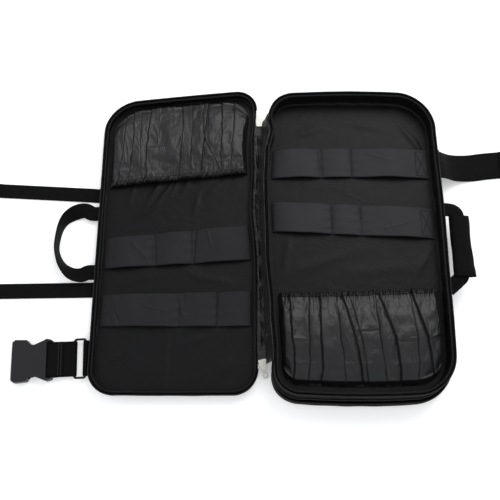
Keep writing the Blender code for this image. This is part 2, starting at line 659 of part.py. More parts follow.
def make_grip(webbing, sleeve):
    middle = tray_wall_x(GRIP_FAR) + GRIP_GAP + GRIP_WIDTH / 2
    path = []
    for out, along in GRIP_LOOP:
        y = GRIP_FAR - GRIP_LENGTH * along
        wall = tray_wall_x(y) + CLEARANCE
        path.append((wall + (middle - wall) * out, y, GRIP_HEIGHT))
    add("grip_webbing", mesh_of("grip_webbing", ribbon(path, GRIP_WEBBING, WEBBING)), webbing)
    outer, inner = [], []
    for along, out, deep in GRIP_SHAPE:
        y = GRIP_FAR - GRIP_LENGTH * along
        outside, inside = [], []
        for step in range(GRIP_SIDES):
            a = 2 * math.pi * step / GRIP_SIDES
            c, s = math.cos(a), math.sin(a)
            reach = GRIP_WIDTH / 2 * (out if c > 0 else 1.0)
            x = middle + math.copysign(abs(c) ** 0.6, c) * reach
            z = GRIP_HEIGHT + math.copysign(abs(s) ** 0.8, s) * GRIP_THICKNESS / 2 * deep
            outside.append((x, y, z))
            x = middle + math.copysign(abs(c) ** 0.5, c) * (GRIP_WEBBING / 2 + GRIP_TUNNEL[0])
            z = GRIP_HEIGHT + math.copysign(abs(s) ** 0.5, s) * (WEBBING / 2 + GRIP_TUNNEL[1])
            inside.append((x, y, z))
        outer.append(outside)
        inner.append(inside)
    add("grip_wrap", mesh_of("grip_wrap", loft(outer + inner[::-1], closed_run=True)), sleeve)


def flat_outline(name, loops, thickness):
    """A flat shape with holes, as a filled 2D curve given half its thickness each way, made a mesh."""
    curve = bpy.data.curves.new(name, "CURVE")
    curve.dimensions = "2D"
    curve.fill_mode = "BOTH"
    curve.extrude = thickness / 2
    for loop in loops:
        spline = curve.splines.new("POLY")
        spline.points.add(len(loop) - 1)
        for point, (x, y) in zip(spline.points, loop):
            point.co = (x, y, 0.0, 1.0)
        spline.use_cyclic_u = True
    return made_mesh(name, curve)


def made_mesh(name, curve):
    """A curve as a bmesh with its caps welded on."""
    guide = bpy.data.objects.new(name + "_guide", curve)
    bpy.context.scene.collection.objects.link(guide)
    bpy.context.view_layer.update()
    mesh = bpy.data.meshes.new_from_object(guide.evaluated_get(bpy.context.evaluated_depsgraph_get()))
    bpy.data.objects.remove(guide, do_unlink=True)
    body = bmesh.new()
    body.from_mesh(mesh)
    bmesh.ops.remove_doubles(body, verts=body.verts[:], dist=0.00001)
    bpy.data.meshes.remove(mesh)
    return body


def arc(cx, cy, radius, start, end, steps):
    turns = [math.radians(start + (end - start) * i / steps) for i in range(steps + 1)]
    return [(cx + radius * math.cos(a), cy + radius * math.sin(a)) for a in turns]


def rounded(left, right, low, high, radius, steps=2):
    return (arc(right - radius, low + radius, radius, -90, 0, steps)
            + arc(right - radius, high - radius, radius, 0, 90, steps)
            + arc(left + radius, high - radius, radius, 90, 180, steps)
            + arc(left + radius, low + radius, radius, 180, 270, steps))


# The buckle hangs from the ring's right bar, which is the origin of these sections; -X runs out to the buckle
BUCKLE_HEIGHT = BUCKLE_THICKNESS / 2
# Its side: share of its length from the webbing's end, share of its half width
BUCKLE_SIDE = ((0.0, 0.79), (0.054, 0.947), (0.161, 1.0), (0.304, 0.877), (0.464, 0.737), (0.571, 0.772),
               (0.643, 0.982), (0.929, 1.018), (1.0, 0.895))


def buckle_place():
    """Where the ring's right bar lies, and how the ring, strap and buckle are turned from it."""
    bar_x = COVER_LEFT + WALL_INSET - TAB_LENGTH
    return Matrix.Translation((bar_x, TAB_Y, BUCKLE_HEIGHT)) @ Matrix.Rotation(BUCKLE_TURN, 4, "Z")


def upright(body):
    """A section drawn in X and Y, stood up so that its Y becomes Z and its thickness runs along Y."""
    bmesh.ops.rotate(body, verts=body.verts[:], cent=(0, 0, 0), matrix=Matrix.Rotation(math.pi / 2, 3, "X"))
    return body


def make_ring(metal):
    half = BUCKLE_WEBBING / 2 + 2 * CLEARANCE + RING_WIRE
    loop = rounded(-RING_PITCH, 0.0, -half, half, RING_CORNER)
    curve = bpy.data.curves.new("strap_ring", "CURVE")
    curve.dimensions = "3D"
    curve.bevel_depth = RING_WIRE
    curve.bevel_resolution = 1
    spline = curve.splines.new("POLY")
    spline.points.add(len(loop) - 1)
    for point, (x, y) in zip(spline.points, loop):
        point.co = (x, y, 0.0, 1.0)
    spline.use_cyclic_u = True
    body = made_mesh("strap_ring", curve)
    bmesh.ops.transform(body, verts=body.verts[:], matrix=buckle_place())
    add("strap_ring", mesh_of("strap_ring", body), metal)


def make_tab(webbing):
    """Webbing that wraps the ring's right bar and is sewn to the cover's wall."""
    inner = (RING_WIRE + CLEARANCE) / math.cos(math.pi / 8)
    outer = inner + WEBBING
    tail = TAB_LENGTH + TAB_TAIL
    loop = arc(0.0, 0.0, outer, 35, 325, 8) + [(outer + LOOP_EASE, -WEBBING), (tail, -WEBBING), (tail, WEBBING),
                                               (outer + LOOP_EASE, WEBBING)]
    body = upright(flat_outline("ring_tab", [loop, arc(0.0, 0.0, inner, 0, 315, 7)], BUCKLE_WEBBING))
    bmesh.ops.transform(body, verts=body.verts[:], matrix=buckle_place())
    cut = bmesh.ops.bisect_plane(body, geom=body.verts[:] + body.edges[:] + body.faces[:],
                                 plane_co=(cover_wall_x(), 0.0, 0.0), plane_no=(1.0, 0.0, 0.0), clear_outer=True)
    edges = [item for item in cut["geom_cut"] if isinstance(item, bmesh.types.BMEdge)]
    bmesh.ops.edgeloop_fill(body, edges=edges)
    add("ring_tab", mesh_of("ring_tab", body), webbing)


def make_buckle(webbing, plastic):
    inner = (RING_WIRE + CLEARANCE) / math.cos(math.pi / 8)
    outer = inner + WEBBING
    ring_x, bar_x = -RING_PITCH, -RING_PITCH - BUCKLE_PITCH
    hole = (bar_x - BAR_HALF - CLEARANCE, bar_x + BAR_HALF + CLEARANCE)
    bar_half_height = BAR_HALF * 0.6
    bar_deep = bar_half_height + CLEARANCE
    over = bar_deep + WEBBING
    fold = WEBBING - LOOP_EASE
    loop = arc(ring_x, 0.0, outer, -145, 145, 8) + [(ring_x - LOOP_RAMP, WEBBING), (hole[1] + LOOP_RAMP, WEBBING)]
    loop += [(hole[1] + LOOP_EASE, over), (hole[0] - fold, over), (hole[0] - WEBBING, over - LOOP_EASE),
             (hole[0] - WEBBING, LOOP_EASE - over), (hole[0] - fold, -over), (hole[1] + LOOP_EASE, -over)]
    loop += [(hole[1] + LOOP_RAMP, -WEBBING), (ring_x - LOOP_RAMP, -WEBBING)]
    holes = [arc(ring_x, 0.0, inner, 0, 315, 7), [(hole[0], -bar_deep), (hole[1], -bar_deep), (hole[1], bar_deep),
                                                  (hole[0], bar_deep)]]
    body = upright(flat_outline("buckle_strap", [loop] + holes, BUCKLE_WEBBING))
    bmesh.ops.transform(body, verts=body.verts[:], matrix=buckle_place())
    add("buckle_strap", mesh_of("buckle_strap", body), webbing)

    back = bar_x + BAR_HALF
    front = back - BUCKLE_LENGTH
    half = BUCKLE_WEBBING / 2 + BUCKLE_SHOULDER
    side = [(back - BUCKLE_LENGTH * along, half * out) for along, out in BUCKLE_SIDE]
    outline_points = side + [(x, -y) for x, y in reversed(side)]
    solid = add("buckle_socket", mesh_of("buckle_socket", flat_outline("buckle_socket", [outline_points],
                                                                       BUCKLE_THICKNESS)), plastic)
    solid.matrix_world = buckle_place()
    slot = (hole[0] - WEBBING - CLEARANCE * 2, bar_x - BAR_HALF)
    wide = BUCKLE_WEBBING + 4 * CLEARANCE
    high = BUCKLE_THICKNESS - 2 * SOCKET_WALL
    cut_box(solid, ((slot[0] + slot[1]) / 2, 0.0, 0.0), (slot[1] - slot[0], wide, BUCKLE_THICKNESS * 2))
    thin = BUCKLE_THICKNESS / 2 - bar_half_height
    reach = back + CUT_OVER - slot[0]
    for up in (-1, 1):
        centre = (slot[0] + reach / 2, 0.0, up * (bar_half_height + thin))
        cut_box(solid, centre, (reach, wide, 2 * thin))
    inside = (BUCKLE_MOUTH + CUT_OVER, 2 * (half - SOCKET_SIDE), high)
    cut_box(solid, (front + (BUCKLE_MOUTH - CUT_OVER) / 2, 0.0, 0.0), inside)
    bevel = solid.modifiers.new("soft_edges", "BEVEL")
    bevel.width = SOFT_EDGE
    bevel.segments = 1
    bevel.limit_method = "ANGLE"
    bevel.angle_limit = math.radians(50)


def cut_box(solid, centre, size):
    """Cuts a box out of the solid. Its centre and size are in the solid's own frame."""
    body = bmesh.new()
    bmesh.ops.create_cube(body, size=1.0)
    bmesh.ops.scale(body, vec=size, verts=body.verts[:])
    bmesh.ops.translate(body, vec=centre, verts=body.verts[:])
    cutter = add(solid.name + "_cutter", mesh_of(solid.name + "_cutter", body), solid.data.materials[0], "cutters")
    cutter.matrix_world = solid.matrix_world
    cutter.hide_render = True
    cutter.display_type = "WIRE"
    modifier = solid.modifiers.new("cut", "BOOLEAN")
    modifier.operation = "DIFFERENCE"
    modifier.object = cutter


def slider_place(x, y, yaw):
    """A slider's frame: its origin at the middle of the tape's edge, +Y out over its nose."""
    height = SPINE_VALLEY + TAPE * 0.8 / 2
    return Matrix.Translation((x, y, height)) @ Matrix.Rotation(yaw, 4, "Z")


def plate_outline():
    tail, nose = -SLIDER_LENGTH / 2, SLIDER_LENGTH / 2
    wide, narrow = SLIDER_WIDTH / 2, SLIDER_NOSE / 2
    cut, tip = SLIDER_CHAMFER, 2 * SLIDER_CHAMFER
    return [(-wide, tail + cut), (-wide + cut, tail), (wide - cut, tail), (wide, tail + cut),
            (wide * 0.98, tail * 0.2), (narrow, nose - tip), (narrow - tip, nose), (-narrow + tip, nose),
            (-narrow, nose - tip), (-wide * 0.98, tail * 0.2)]


def crown_outline():
    """The bridge under the slider that holds the pull's bar, from the side: its frame and the slot in it."""
    half = CROWN_LENGTH / 2
    low = -CROWN_HEIGHT
    root, cut = SLIDER_PLATE * 0.4, SLIDER_CHAMFER
    frame = [(-half, root), (-half, low + cut), (-half + cut, low), (half - cut, low), (half, low + cut),
             (half, root)]
    slot = [(-half + CROWN_BAR, 0.0), (-half + CROWN_BAR, low + CROWN_BAR), (half - CROWN_BAR, low + CROWN_BAR),
            (half - CROWN_BAR, 0.0)]
    return [frame, slot[::-1]]


def make_slider(name, place, metal):
    """Two plates over and under the tape's end, the post between them and the bridge below."""
    gap = TAPE * 0.8 + 2 * CLEARANCE
    plates = []
    for up in (1, -1):
        body = flat_outline(name, [plate_outline()], SLIDER_PLATE)
        bmesh.ops.translate(body, verts=body.verts[:], vec=(0, 0, up * (gap + SLIDER_PLATE) / 2))
        plates.append(body)
    post = bmesh.new()
    bmesh.ops.create_cube(post, size=1.0)
    bmesh.ops.scale(post, vec=(SLIDER_POST, SLIDER_LENGTH / 3, gap + SLIDER_PLATE), verts=post.verts[:])
    bmesh.ops.translate(post, vec=(0, SLIDER_LENGTH * 0.233, 0), verts=post.verts[:])
    crown = flat_outline(name, crown_outline(), CROWN_WIDTH)
    stand = Matrix.Rotation(math.pi / 2, 4, "Z") @ Matrix.Rotation(math.pi / 2, 4, "X")
    lower_face = -(gap / 2 + SLIDER_PLATE)
    bmesh.ops.transform(crown, verts=crown.verts[:], matrix=Matrix.Translation((0, 0, lower_face)) @ stand)
    solid = add(name, mesh_of(name, plates[0]), metal)
    solid.matrix_world = place
    for body in (post, plates[1], crown):
        tool = add(name + "_joined", mesh_of(name + "_joined", body), metal, "cutters")
        tool.matrix_world = place
        tool.hide_render = True
        tool.display_type = "WIRE"
        modifier = solid.modifiers.new("join", "BOOLEAN")
        modifier.operation = "UNION"
        modifier.object = tool


def make_pull(name, place, pivot, toward, metal):
    """The pull hangs by its bar in the slider's bridge and rests with its tip on the table."""
    half = PULL_WIDTH / 2
    eye = CROWN_WIDTH / 2 + 2 * CLEARANCE
    edge = PULL_BAR / 2
    flare = PULL_LENGTH * 0.81
    tab = [(-half * 0.72, -edge), (half * 0.72, -edge), (half, 0.0), (half, PULL_LENGTH * 0.45),
           (half * 1.12, flare), (half * 0.75, PULL_LENGTH), (-half * 0.75, PULL_LENGTH),
           (-half * 1.12, flare), (-half, PULL_LENGTH * 0.45), (-half, 0.0)]
    slot = [(-eye, edge), (eye, edge), (eye, PULL_LENGTH * 0.42), (-eye, PULL_LENGTH * 0.42)]
    window = rounded(-half * 0.6, half * 0.6, PULL_LENGTH * 0.56, PULL_LENGTH * 0.88, half * 0.4)
    body = flat_outline(name, [tab, slot, window], PULL_THICKNESS)
    solid = add(name, mesh_of(name, body), metal)
    gap = TAPE * 0.8 + 2 * CLEARANCE
    height = -(gap / 2 + SLIDER_PLATE + (CROWN_HEIGHT - CROWN_BAR) / 2)
    heading = Matrix.Identity(4) if toward > 0 else Matrix.Rotation(math.pi, 4, "Z")
    solid.matrix_world = (place @ Matrix.Translation((0.0, pivot, height)) @ heading
                          @ Matrix.Rotation(-PULL_DROOP, 4, "X"))
    return solid


def make_zip_pulls(metal):
    """The upper pull is tucked in under the spine, the lower one sticks out beyond its slider."""
    reach = CROWN_LENGTH / 2 - CROWN_BAR - PULL_BAR / 2 - CLEARANCE
    upper = slider_place(UPPER_SLIDER_X, spine_end_y(SPINE_END) + SLIDER_SEAT, 0.0)
    lower = slider_place(LOWER_SLIDER_X, spine_end_y(SPINE_START) - SLIDER_SEAT, math.pi + LOWER_YAW)
    make_slider("zip_slider_upper", upper, metal)
    make_pull("zip_pull_upper", upper, -reach, -1, metal)
    make_slider("zip_slider_lower", lower, metal)
    make_pull("zip_pull_lower", lower, reach, 1, metal)


def main():
    clear_scene()
    nylon = finish("black_nylon", (0.012, 0.012, 0.013), 0.75)
    lining = finish("lining_cloth", (0.018, 0.018, 0.020), 0.65)
    pocket_cloth = finish("satin_pocket_cloth", (0.045, 0.045, 0.047), 0.5)
    elastic = finish("elastic_band", (0.030, 0.028, 0.031), 0.7)
    binding = finish("piping", (0.030, 0.030, 0.032), 0.6)
    zip_black = finish("zip_tape", (0.010, 0.010, 0.011), 0.7)
    webbing = finish("webbing", (0.014, 0.014, 0.015), 0.8)
    sleeve = finish("grip_sleeve", (0.020, 0.020, 0.021), 0.7)
    plastic = finish("buckle_plastic", (0.030, 0.028, 0.033), 0.45)
    metal = finish("nickel", (0.60, 0.60, 0.58), 0.3, 1.0)
    make_cover(nylon, lining, binding, zip_black)
    make_tray(nylon, lining, binding, zip_black)
    make_pouch(nylon, binding, zip_black)
    make_spine(lining)
    make_bands(elastic)
    make_pockets(pocket_cloth, elastic)
    make_straps(webbing)
    make_handle(webbing)
    make_grip(webbing, sleeve)
    make_ring(plastic)
    make_tab(webbing)
    make_buckle(webbing, plastic)
    make_zip_pulls(metal)


main()
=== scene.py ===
import math

import bmesh
import bpy
from mathutils import Matrix, Vector, noise


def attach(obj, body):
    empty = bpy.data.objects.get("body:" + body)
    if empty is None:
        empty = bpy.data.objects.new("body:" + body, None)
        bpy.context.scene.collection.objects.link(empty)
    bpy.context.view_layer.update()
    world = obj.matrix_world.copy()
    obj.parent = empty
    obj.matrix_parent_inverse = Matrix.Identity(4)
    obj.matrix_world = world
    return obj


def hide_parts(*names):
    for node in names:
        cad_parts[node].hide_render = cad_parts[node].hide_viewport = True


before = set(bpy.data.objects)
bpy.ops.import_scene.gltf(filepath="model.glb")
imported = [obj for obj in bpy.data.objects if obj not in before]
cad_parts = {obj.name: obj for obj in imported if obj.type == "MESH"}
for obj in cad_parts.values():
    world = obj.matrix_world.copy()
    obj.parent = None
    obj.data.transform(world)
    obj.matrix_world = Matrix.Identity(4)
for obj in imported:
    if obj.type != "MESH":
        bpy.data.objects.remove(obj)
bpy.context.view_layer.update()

# ---- Camera, light and floor ----
# The bag is photographed from above on a white sweep, from a little in front of it, under large soft lamps
# that leave hardly a shadow. The floor is stage, not part of the bag.
CAMERA_PLACE = (0.0, -0.3177, 0.9330)
CAMERA_TILT = math.radians(18.0)
CAMERA_LENS = 48.96
LAMPS = (
    {"name": "key_softbox", "place": (0.62, 1.05, 1.45), "size": 1.1, "power": 17.0},
    {"name": "side_softbox", "place": (-1.35, 0.20, 1.20), "size": 1.2, "power": 2.5},
    {"name": "front_softbox", "place": (-0.10, -1.60, 1.40), "size": 1.5, "power": 5.0},
)
FLOOR_SIZE = 6.0
FLOOR_DROP = 0.0006


def linear(hex_colour):
    """An sRGB hex colour as linear red, green, blue and alpha."""
    parts = [int(hex_colour[i:i + 2], 16) / 255 for i in (1, 3, 5)]
    return (*[p / 12.92 if p <= 0.04045 else ((p + 0.055) / 1.055) ** 2.4 for p in parts], 1.0)


def shader_of(material):
    return material.node_tree.nodes["Principled BSDF"]


def new_material(name, values):
    """A material whose Principled shader has these values."""
    material = bpy.data.materials.new(name)
    material.use_nodes = True
    for socket, value in values.items():
        shader_of(material).inputs[socket].default_value = value
    return material


def add_node(material, kind, settings=None, links=None):
    """Adds a node, sets its values, and joins its sockets: links are {socket: (node, socket)}."""
    made = material.node_tree.nodes.new(kind)
    for name, value in (settings or {}).items():
        if isinstance(name, int) or name in made.inputs:
            made.inputs[name].default_value = value
        else:
            setattr(made, name, value)
    for name, (source, output) in (links or {}).items():
        material.node_tree.links.new(source.outputs[output], made.inputs[name])
    return made


camera_data = bpy.data.cameras.new("photo_view")
camera_data.lens = CAMERA_LENS
camera_data.clip_start = 0.01
camera = bpy.data.objects.new("photo_view", camera_data)
camera.location = CAMERA_PLACE
camera.rotation_euler = (CAMERA_TILT, 0.0, 0.0)
bpy.context.scene.collection.objects.link(camera)
bpy.context.scene.camera = camera
bpy.context.scene.view_settings.view_transform = "Standard"

for lamp in LAMPS:
    data = bpy.data.lights.new(lamp["name"], "AREA")
    data.size = lamp["size"]
    data.energy = lamp["power"]
    made = bpy.data.objects.new(lamp["name"], data)
    made.location = lamp["place"]
    made.rotation_euler = (-Vector(lamp["place"])).to_track_quat("-Z", "Y").to_euler()
    bpy.context.scene.collection.objects.link(made)

world = bpy.data.worlds.new("studio")
world.use_nodes = True
world.node_tree.nodes["Background"].inputs["Color"].default_value = linear("#f4f6f8")
world.node_tree.nodes["Background"].inputs["Strength"].default_value = 0.80
bpy.context.scene.world = world

# Matt white paper: no gloss, so that the bag leaves no reflection in it. The sweep is lit from behind as well,
# which washes the shadows out.
paper = new_material("white_paper", {
    "Base Color": linear("#ffffff"), "Roughness": 0.95, "Specular IOR Level": 0.1,
    "Emission Color": linear("#ffffff"), "Emission Strength": 0.26})
floor_body = bmesh.new()
bmesh.ops.create_grid(floor_body, x_segments=1, y_segments=1, size=FLOOR_SIZE / 2)
bmesh.ops.translate(floor_body, vec=(0, 0, -FLOOR_DROP), verts=floor_body.verts[:])
floor_mesh = bpy.data.meshes.new("paper_sweep")
floor_body.to_mesh(floor_mesh)
floor_body.free()
floor_mesh.materials.append(paper)
floor = bpy.data.objects.new("paper_sweep", floor_mesh)
bpy.context.scene.collection.objects.link(floor)

# ---- Cover: outer shell ----
# The flat half of the bag: coated polyester cloth over 3 mm of foam, sewn with a low wall all round. It lies
# with its outside on the table, so only the wall and the rim show from above.
PADDED_WALL = 0.003
LINING = 0.001
CLEARANCE = 0.0003
COVER = {"left": -0.2195, "right": 0.0130, "near": -0.2235, "far": 0.2145,
         "corners": (0.036, 0.036, 0.050, 0.036)}
COVER_HEIGHT = 0.013
# Its right side slants away from the viewer, from this share of the length and over this much of it
COVER_RISE = 0.025
COVER_RISE_FROM = 0.22
COVER_RISE_OVER = 0.33
COVER_CROWN = 0.001
COVER_LINING_TOP = PADDED_WALL + CLEARANCE + LINING
# Sideways sway of the cover's spine edge: share of the length from the near end, share of the width
COVER_SWAY = ((0.0, 0.0), (0.38, 0.0), (0.57, -0.026), (0.68, -0.017), (0.79, -0.020), (0.92, -0.004),
              (1.0, 0.0))
# Rise and fall of the rims, as a share of the wall's height: share of the length, share of the height
RIM_RIPPLE = ((0.0, 0.02), (0.2, -0.05), (0.42, 0.03), (0.6, -0.06), (0.8, 0.03), (1.0, -0.02))
# Wall of the cover from its foot to its rim, and down inside: distance in from the outline, height
COVER_WALL = ((0.030, 0.0010), (0.012, 0.0001), (0.0050, 0.0000), (0.0030, 0.0018), (0.0024, 0.0045),
              (0.0024, 0.0085), (0.0028, 0.0128), (0.0042, 0.0134), (0.0056, 0.0128), (0.0053, 0.0080))
RIM_STEPS = 420


def uneven(x, y, z):
    """Smooth noise at a point, from -1 to 1."""
    return noise.noise(Vector((x, y, z)))


def eased(t):
    t = min(max(t, 0.0), 1.0)
    return t * t * (3.0 - 2.0 * t)


def between(table, share):
    """The table's second column at this share, eased from row to row."""
    share = min(max(share, table[0][0]), table[-1][0])
    for (start, first), (end, last) in zip(table, table[1:]):
        if share <= end:
            return first + (last - first) * eased((share - start) / (end - start))
    return table[-1][1]


def cover_lay(x, y, z):
    """A point of the square cover, moved to where the cloth lies."""
    width, length = COVER["right"] - COVER["left"], COVER["far"] - COVER["near"]
    across = (x - COVER["left"]) / width
    along = (y - COVER["near"]) / length
    lift = max(0.0, z - COVER_LINING_TOP) * between(RIM_RIPPLE, along)
    slant = COVER_RISE * across * eased((along - COVER_RISE_FROM) / COVER_RISE_OVER)
    crown = COVER_CROWN * (2.0 * along - 1.0) * math.sin(math.pi * min(max(across, 0.0), 1.0))
    return Vector((x + width * between(COVER_SWAY, along) * across, y + slant + crown, z + lift))


def through(points, share):
    """The point this share of the way along a smooth line through evenly spaced points."""
    spot = min(max(share, 0.0), 1.0) * (len(points) - 1)
    i = min(int(spot), len(points) - 2)
    t = spot - i
    p = [Vector(points[min(max(k, 0), len(points) - 1)]) for k in (i - 1, i, i + 1, i + 2)]
    return 0.5 * (2 * p[1] + (p[2] - p[0]) * t + (2 * p[0] - 5 * p[1] + 4 * p[2] - p[3]) * t ** 2
                  + (3 * p[1] - p[0] - 3 * p[2] + p[3]) * t ** 3)


def rim_stops(half):
    """Where each corner and each side of a half's outline starts, as shares of its length."""
    arcs = [math.pi / 2 * radius for radius in half["corners"]]
    right, far, left, near = (
        half["far"] - half["near"] - half["corners"][0] - half["corners"][1],
        half["right"] - half["left"] - half["corners"][1] - half["corners"][2],
        half["far"] - half["near"] - half["corners"][2] - half["corners"][3],
        half["right"] - half["left"] - half["corners"][3] - half["corners"][0])
    lengths = (arcs[0], right, arcs[1], far, arcs[2], left, arcs[3], near)
    half["round"] = sum(lengths)
    return [sum(lengths[:i]) / half["round"] for i in range(9)]


COVER["stops"] = rim_stops(COVER)
COVER["lay"] = cover_lay


def rim_point(half, inset, share):
    """A point of the outline moved in by inset: from the near right corner, by the right and far sides."""
    left, right = half["left"] + inset, half["right"] - inset
    near, far = half["near"] + inset, half["far"] - inset
    radii = [radius - inset for radius in half["corners"]]
    centres = ((right - radii[0], near + radii[0]), (right - radii[1], far - radii[1]),
               (left + radii[2], far - radii[2]), (left + radii[3], near + radii[3]))
    share %= 1.0
    part = max(k for k in range(8) if half["stops"][k] <= share)
    t = (share - half["stops"][part]) / (half["stops"][part + 1] - half["stops"][part])
    corner, on_side = divmod(part, 2)
    turn = math.pi / 2 * (corner - 1 + (1.0 if on_side else t))
    aim = Vector((math.cos(turn), math.sin(turn)))
    start = Vector(centres[corner]) + aim * radii[corner]
    if not on_side:
        return start
    after = (corner + 1) % 4
    return start.lerp(Vector(centres[after]) + aim * radii[after], t)


def wobble(share, count, seed):
    """A soft irregular wave round a closed rim, from -1 to 1."""
    turn = 2 * math.pi * share
    return uneven(math.cos(turn) * count / 6.3, math.sin(turn) * count / 6.3, seed)


def surface(place, across, along, size, closed=False):
    """A grid of cloth whose points go where place(u, v) says. Its UV map is the flat cloth, in metres."""
    body = bmesh.new()
    flat = body.loops.layers.uv.new("cloth")
    bmesh.ops.create_grid(body, x_segments=across, y_segments=along, size=0.5)
    for face in body.faces:
        for loop in face.loops:
            loop[flat].uv = ((loop.vert.co.x + 0.5) * size[0], (loop.vert.co.y + 0.5) * size[1])
    for vert in body.verts:
        vert.co = place(vert.co.x + 0.5, vert.co.y + 0.5)
    if closed:
        bmesh.ops.remove_doubles(body, verts=body.verts[:], dist=0.000001)
    return body


def piece(name, bodies, material, nodes=(), riding="bag"):
    """One object of the bag from one or more bodies. It rides on its CAD body and stands for the nodes."""
    mesh = bpy.data.meshes.new(name)
    joined = bmesh.new()
    for body in bodies if isinstance(bodies, list) else [bodies]:
        body.to_mesh(mesh)
        body.free()
        joined.from_mesh(mesh)
    joined.to_mesh(mesh)
    joined.free()
    mesh.shade_smooth()
    mesh.materials.append(material)
    made = bpy.data.objects.new(name, mesh)
    bpy.context.scene.collection.objects.link(made)
    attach(made, riding)
    if nodes:
        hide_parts(*nodes)
    return made


def thicken(made, thickness, offset):
    """Gives a sheet the thickness of its cloth: half to either side at offset 0, all of it outwards at 1."""
    thick = made.modifiers.new("cloth_thickness", "SOLIDIFY")
    thick.thickness = thickness
    thick.offset = offset


def rim_strip(half, section, start, end, steps, stray=0.0, seed=0.0):
    """A strip round a rim. Its section runs through points of inset and height, straying a little."""
    long = half["round"] * (end - start)
    wide = sum((Vector(b) - Vector(a)).length for a, b in zip(section, section[1:]))

    def place(u, v):
        share = start + (end - start) * u
        inset, height = through(section, v)
        inset += stray * wobble(share, 60, seed)
        height += stray * 0.7 * wobble(share, 45, seed + 5.0)
        x, y = rim_point(half, inset, share)
        return half["lay"](x, y, max(height, 0.0))

    whole = abs(end - start - 1.0) < 0.001
    return surface(place, steps, (len(section) - 1) * 3, (long, wide), closed=whole)


def plain_point(half, inset, u, v):
    """A point of the flat panel inside a half's outline, with u and v from 0 to 1 across and along it."""
    left, right = half["left"] + inset, half["right"] - inset
    x = left + (right - left) * (0.75 * u + 0.25 * (0.5 - 0.5 * math.cos(math.pi * u)))
    near, far = half["near"] + inset, half["far"] - inset
    ends = []
    for corners, step in (((3, 0), 1.0), ((2, 1), -1.0)):
        corner, reach = (corners[0], x - left) if x < (left + right) / 2 else (corners[1], right - x)
        radius = half["corners"][corner] - inset
        beyond = min(max(0.0, radius - reach), radius)
        ends.append(step * (radius - math.sqrt(radius ** 2 - beyond ** 2)))
    return x, near + ends[0] + (far + ends[1] - near - ends[0]) * v


# How much a cloth's colour varies at random over centimetres, as a share; and how far painted shade darkens the
# weave's low parts and painted light lightens its high parts, as a share
SHADE_SPREAD = 0.18
WEAVE_PAINTED_SHADE = 0.12


def woven(name, colour, pitch, roughness, sheen, weave_depth, crease_depth=0.0, crease_size=0.02, gloss=0.2):
    """A woven cloth: threads over and under at this pitch, painted shade in the weave's low parts and painted
    light on its high parts, and creases.
    """
    material = new_material(name, {"Roughness": roughness, "Specular IOR Level": gloss, "Sheen Weight": sheen,
                                   "Sheen Roughness": 0.5})
    shader = shader_of(material)
    spot = add_node(material, "ShaderNodeUVMap", {"uv_map": "cloth"})
    # A wave's bands repeat every 0.314 / scale of a metre
    scale = 0.314159 / pitch
    warp, weft = [add_node(material, "ShaderNodeTexWave",
                           {"bands_direction": axis, "Scale": scale, "Distortion": 0.4},
                           {"Vector": (spot, "UV")}) for axis in "XY"]
    weave = add_node(material, "ShaderNodeMath", {"operation": "MULTIPLY"}, {0: (warp, "Fac"), 1: (weft, "Fac")})
    place = add_node(material, "ShaderNodeTexCoord")
    shade = add_node(material, "ShaderNodeTexNoise", {"Scale": 26.0, "Detail": 4.0, "Roughness": 0.6},
                     {"Vector": (place, "Object")})
    tone = add_node(material, "ShaderNodeMix", {"data_type": "RGBA", "blend_type": "MIX"},
                    {"Factor": (shade, "Fac")})
    base = linear(colour)
    for socket, change in ((6, -SHADE_SPREAD), (7, SHADE_SPREAD)):
        tone.inputs[socket].default_value = (*[c * (1 + change) for c in base[:3]], 1.0)
    # Painted shade and light: the colour follows the weave's height, darker where it is low and lighter where it
    # is high
    lit = add_node(material, "ShaderNodeMapRange", {"To Min": 1 - WEAVE_PAINTED_SHADE, "To Max": 1 + WEAVE_PAINTED_SHADE},
                   {"Value": (weave, "Value")})
    colour_mix = add_node(material, "ShaderNodeMix",
                          {"data_type": "RGBA", "blend_type": "MULTIPLY", "Factor": 1.0})
    material.node_tree.links.new(tone.outputs[2], colour_mix.inputs[6])
    material.node_tree.links.new(lit.outputs["Result"], colour_mix.inputs[7])
    material.node_tree.links.new(colour_mix.outputs[2], shader.inputs["Base Color"])
    thread_bump = add_node(material, "ShaderNodeBump", {"Strength": 0.8, "Distance": weave_depth},
                           {"Height": (weave, "Value")})
    last = thread_bump
    if crease_depth:
        crease = add_node(material, "ShaderNodeTexNoise",
                          {"Scale": 1.0 / crease_size, "Detail": 3.0, "Roughness": 0.55, "Distortion": 1.2},
                          {"Vector": (place, "Object")})
        last = add_node(material, "ShaderNodeBump", {"Strength": 1.0, "Distance": crease_depth},
                        {"Height": (crease, "Fac"), "Normal": (thread_bump, "Normal")})
    material.node_tree.links.new(last.outputs["Normal"], shader.inputs["Normal"])
    return material


# Coated polyester: a coarse plain weave, 0.9 mm here so that it shows, nearly without gloss
oxford_cloth = woven("coated_oxford_cloth", "#09090a", 0.0009, 0.80, 0.01, 0.00025, 0.0010, 0.03, 0.06)
cover_wall = rim_strip(COVER, COVER_WALL, 0.0, 1.0, RIM_STEPS, 0.0005, 1.0)
cover_bottom = surface(lambda u, v: cover_lay(*plain_point(COVER, 0.028, u, v), 0.0010
                       + 0.0003 * uneven(u * 9, v * 14, 3.0)), 60, 110, (0.20, 0.40))
cover_shell = piece("cover_outer_shell", [cover_wall, cover_bottom], oxford_cloth,
                    ("cover_shell",))

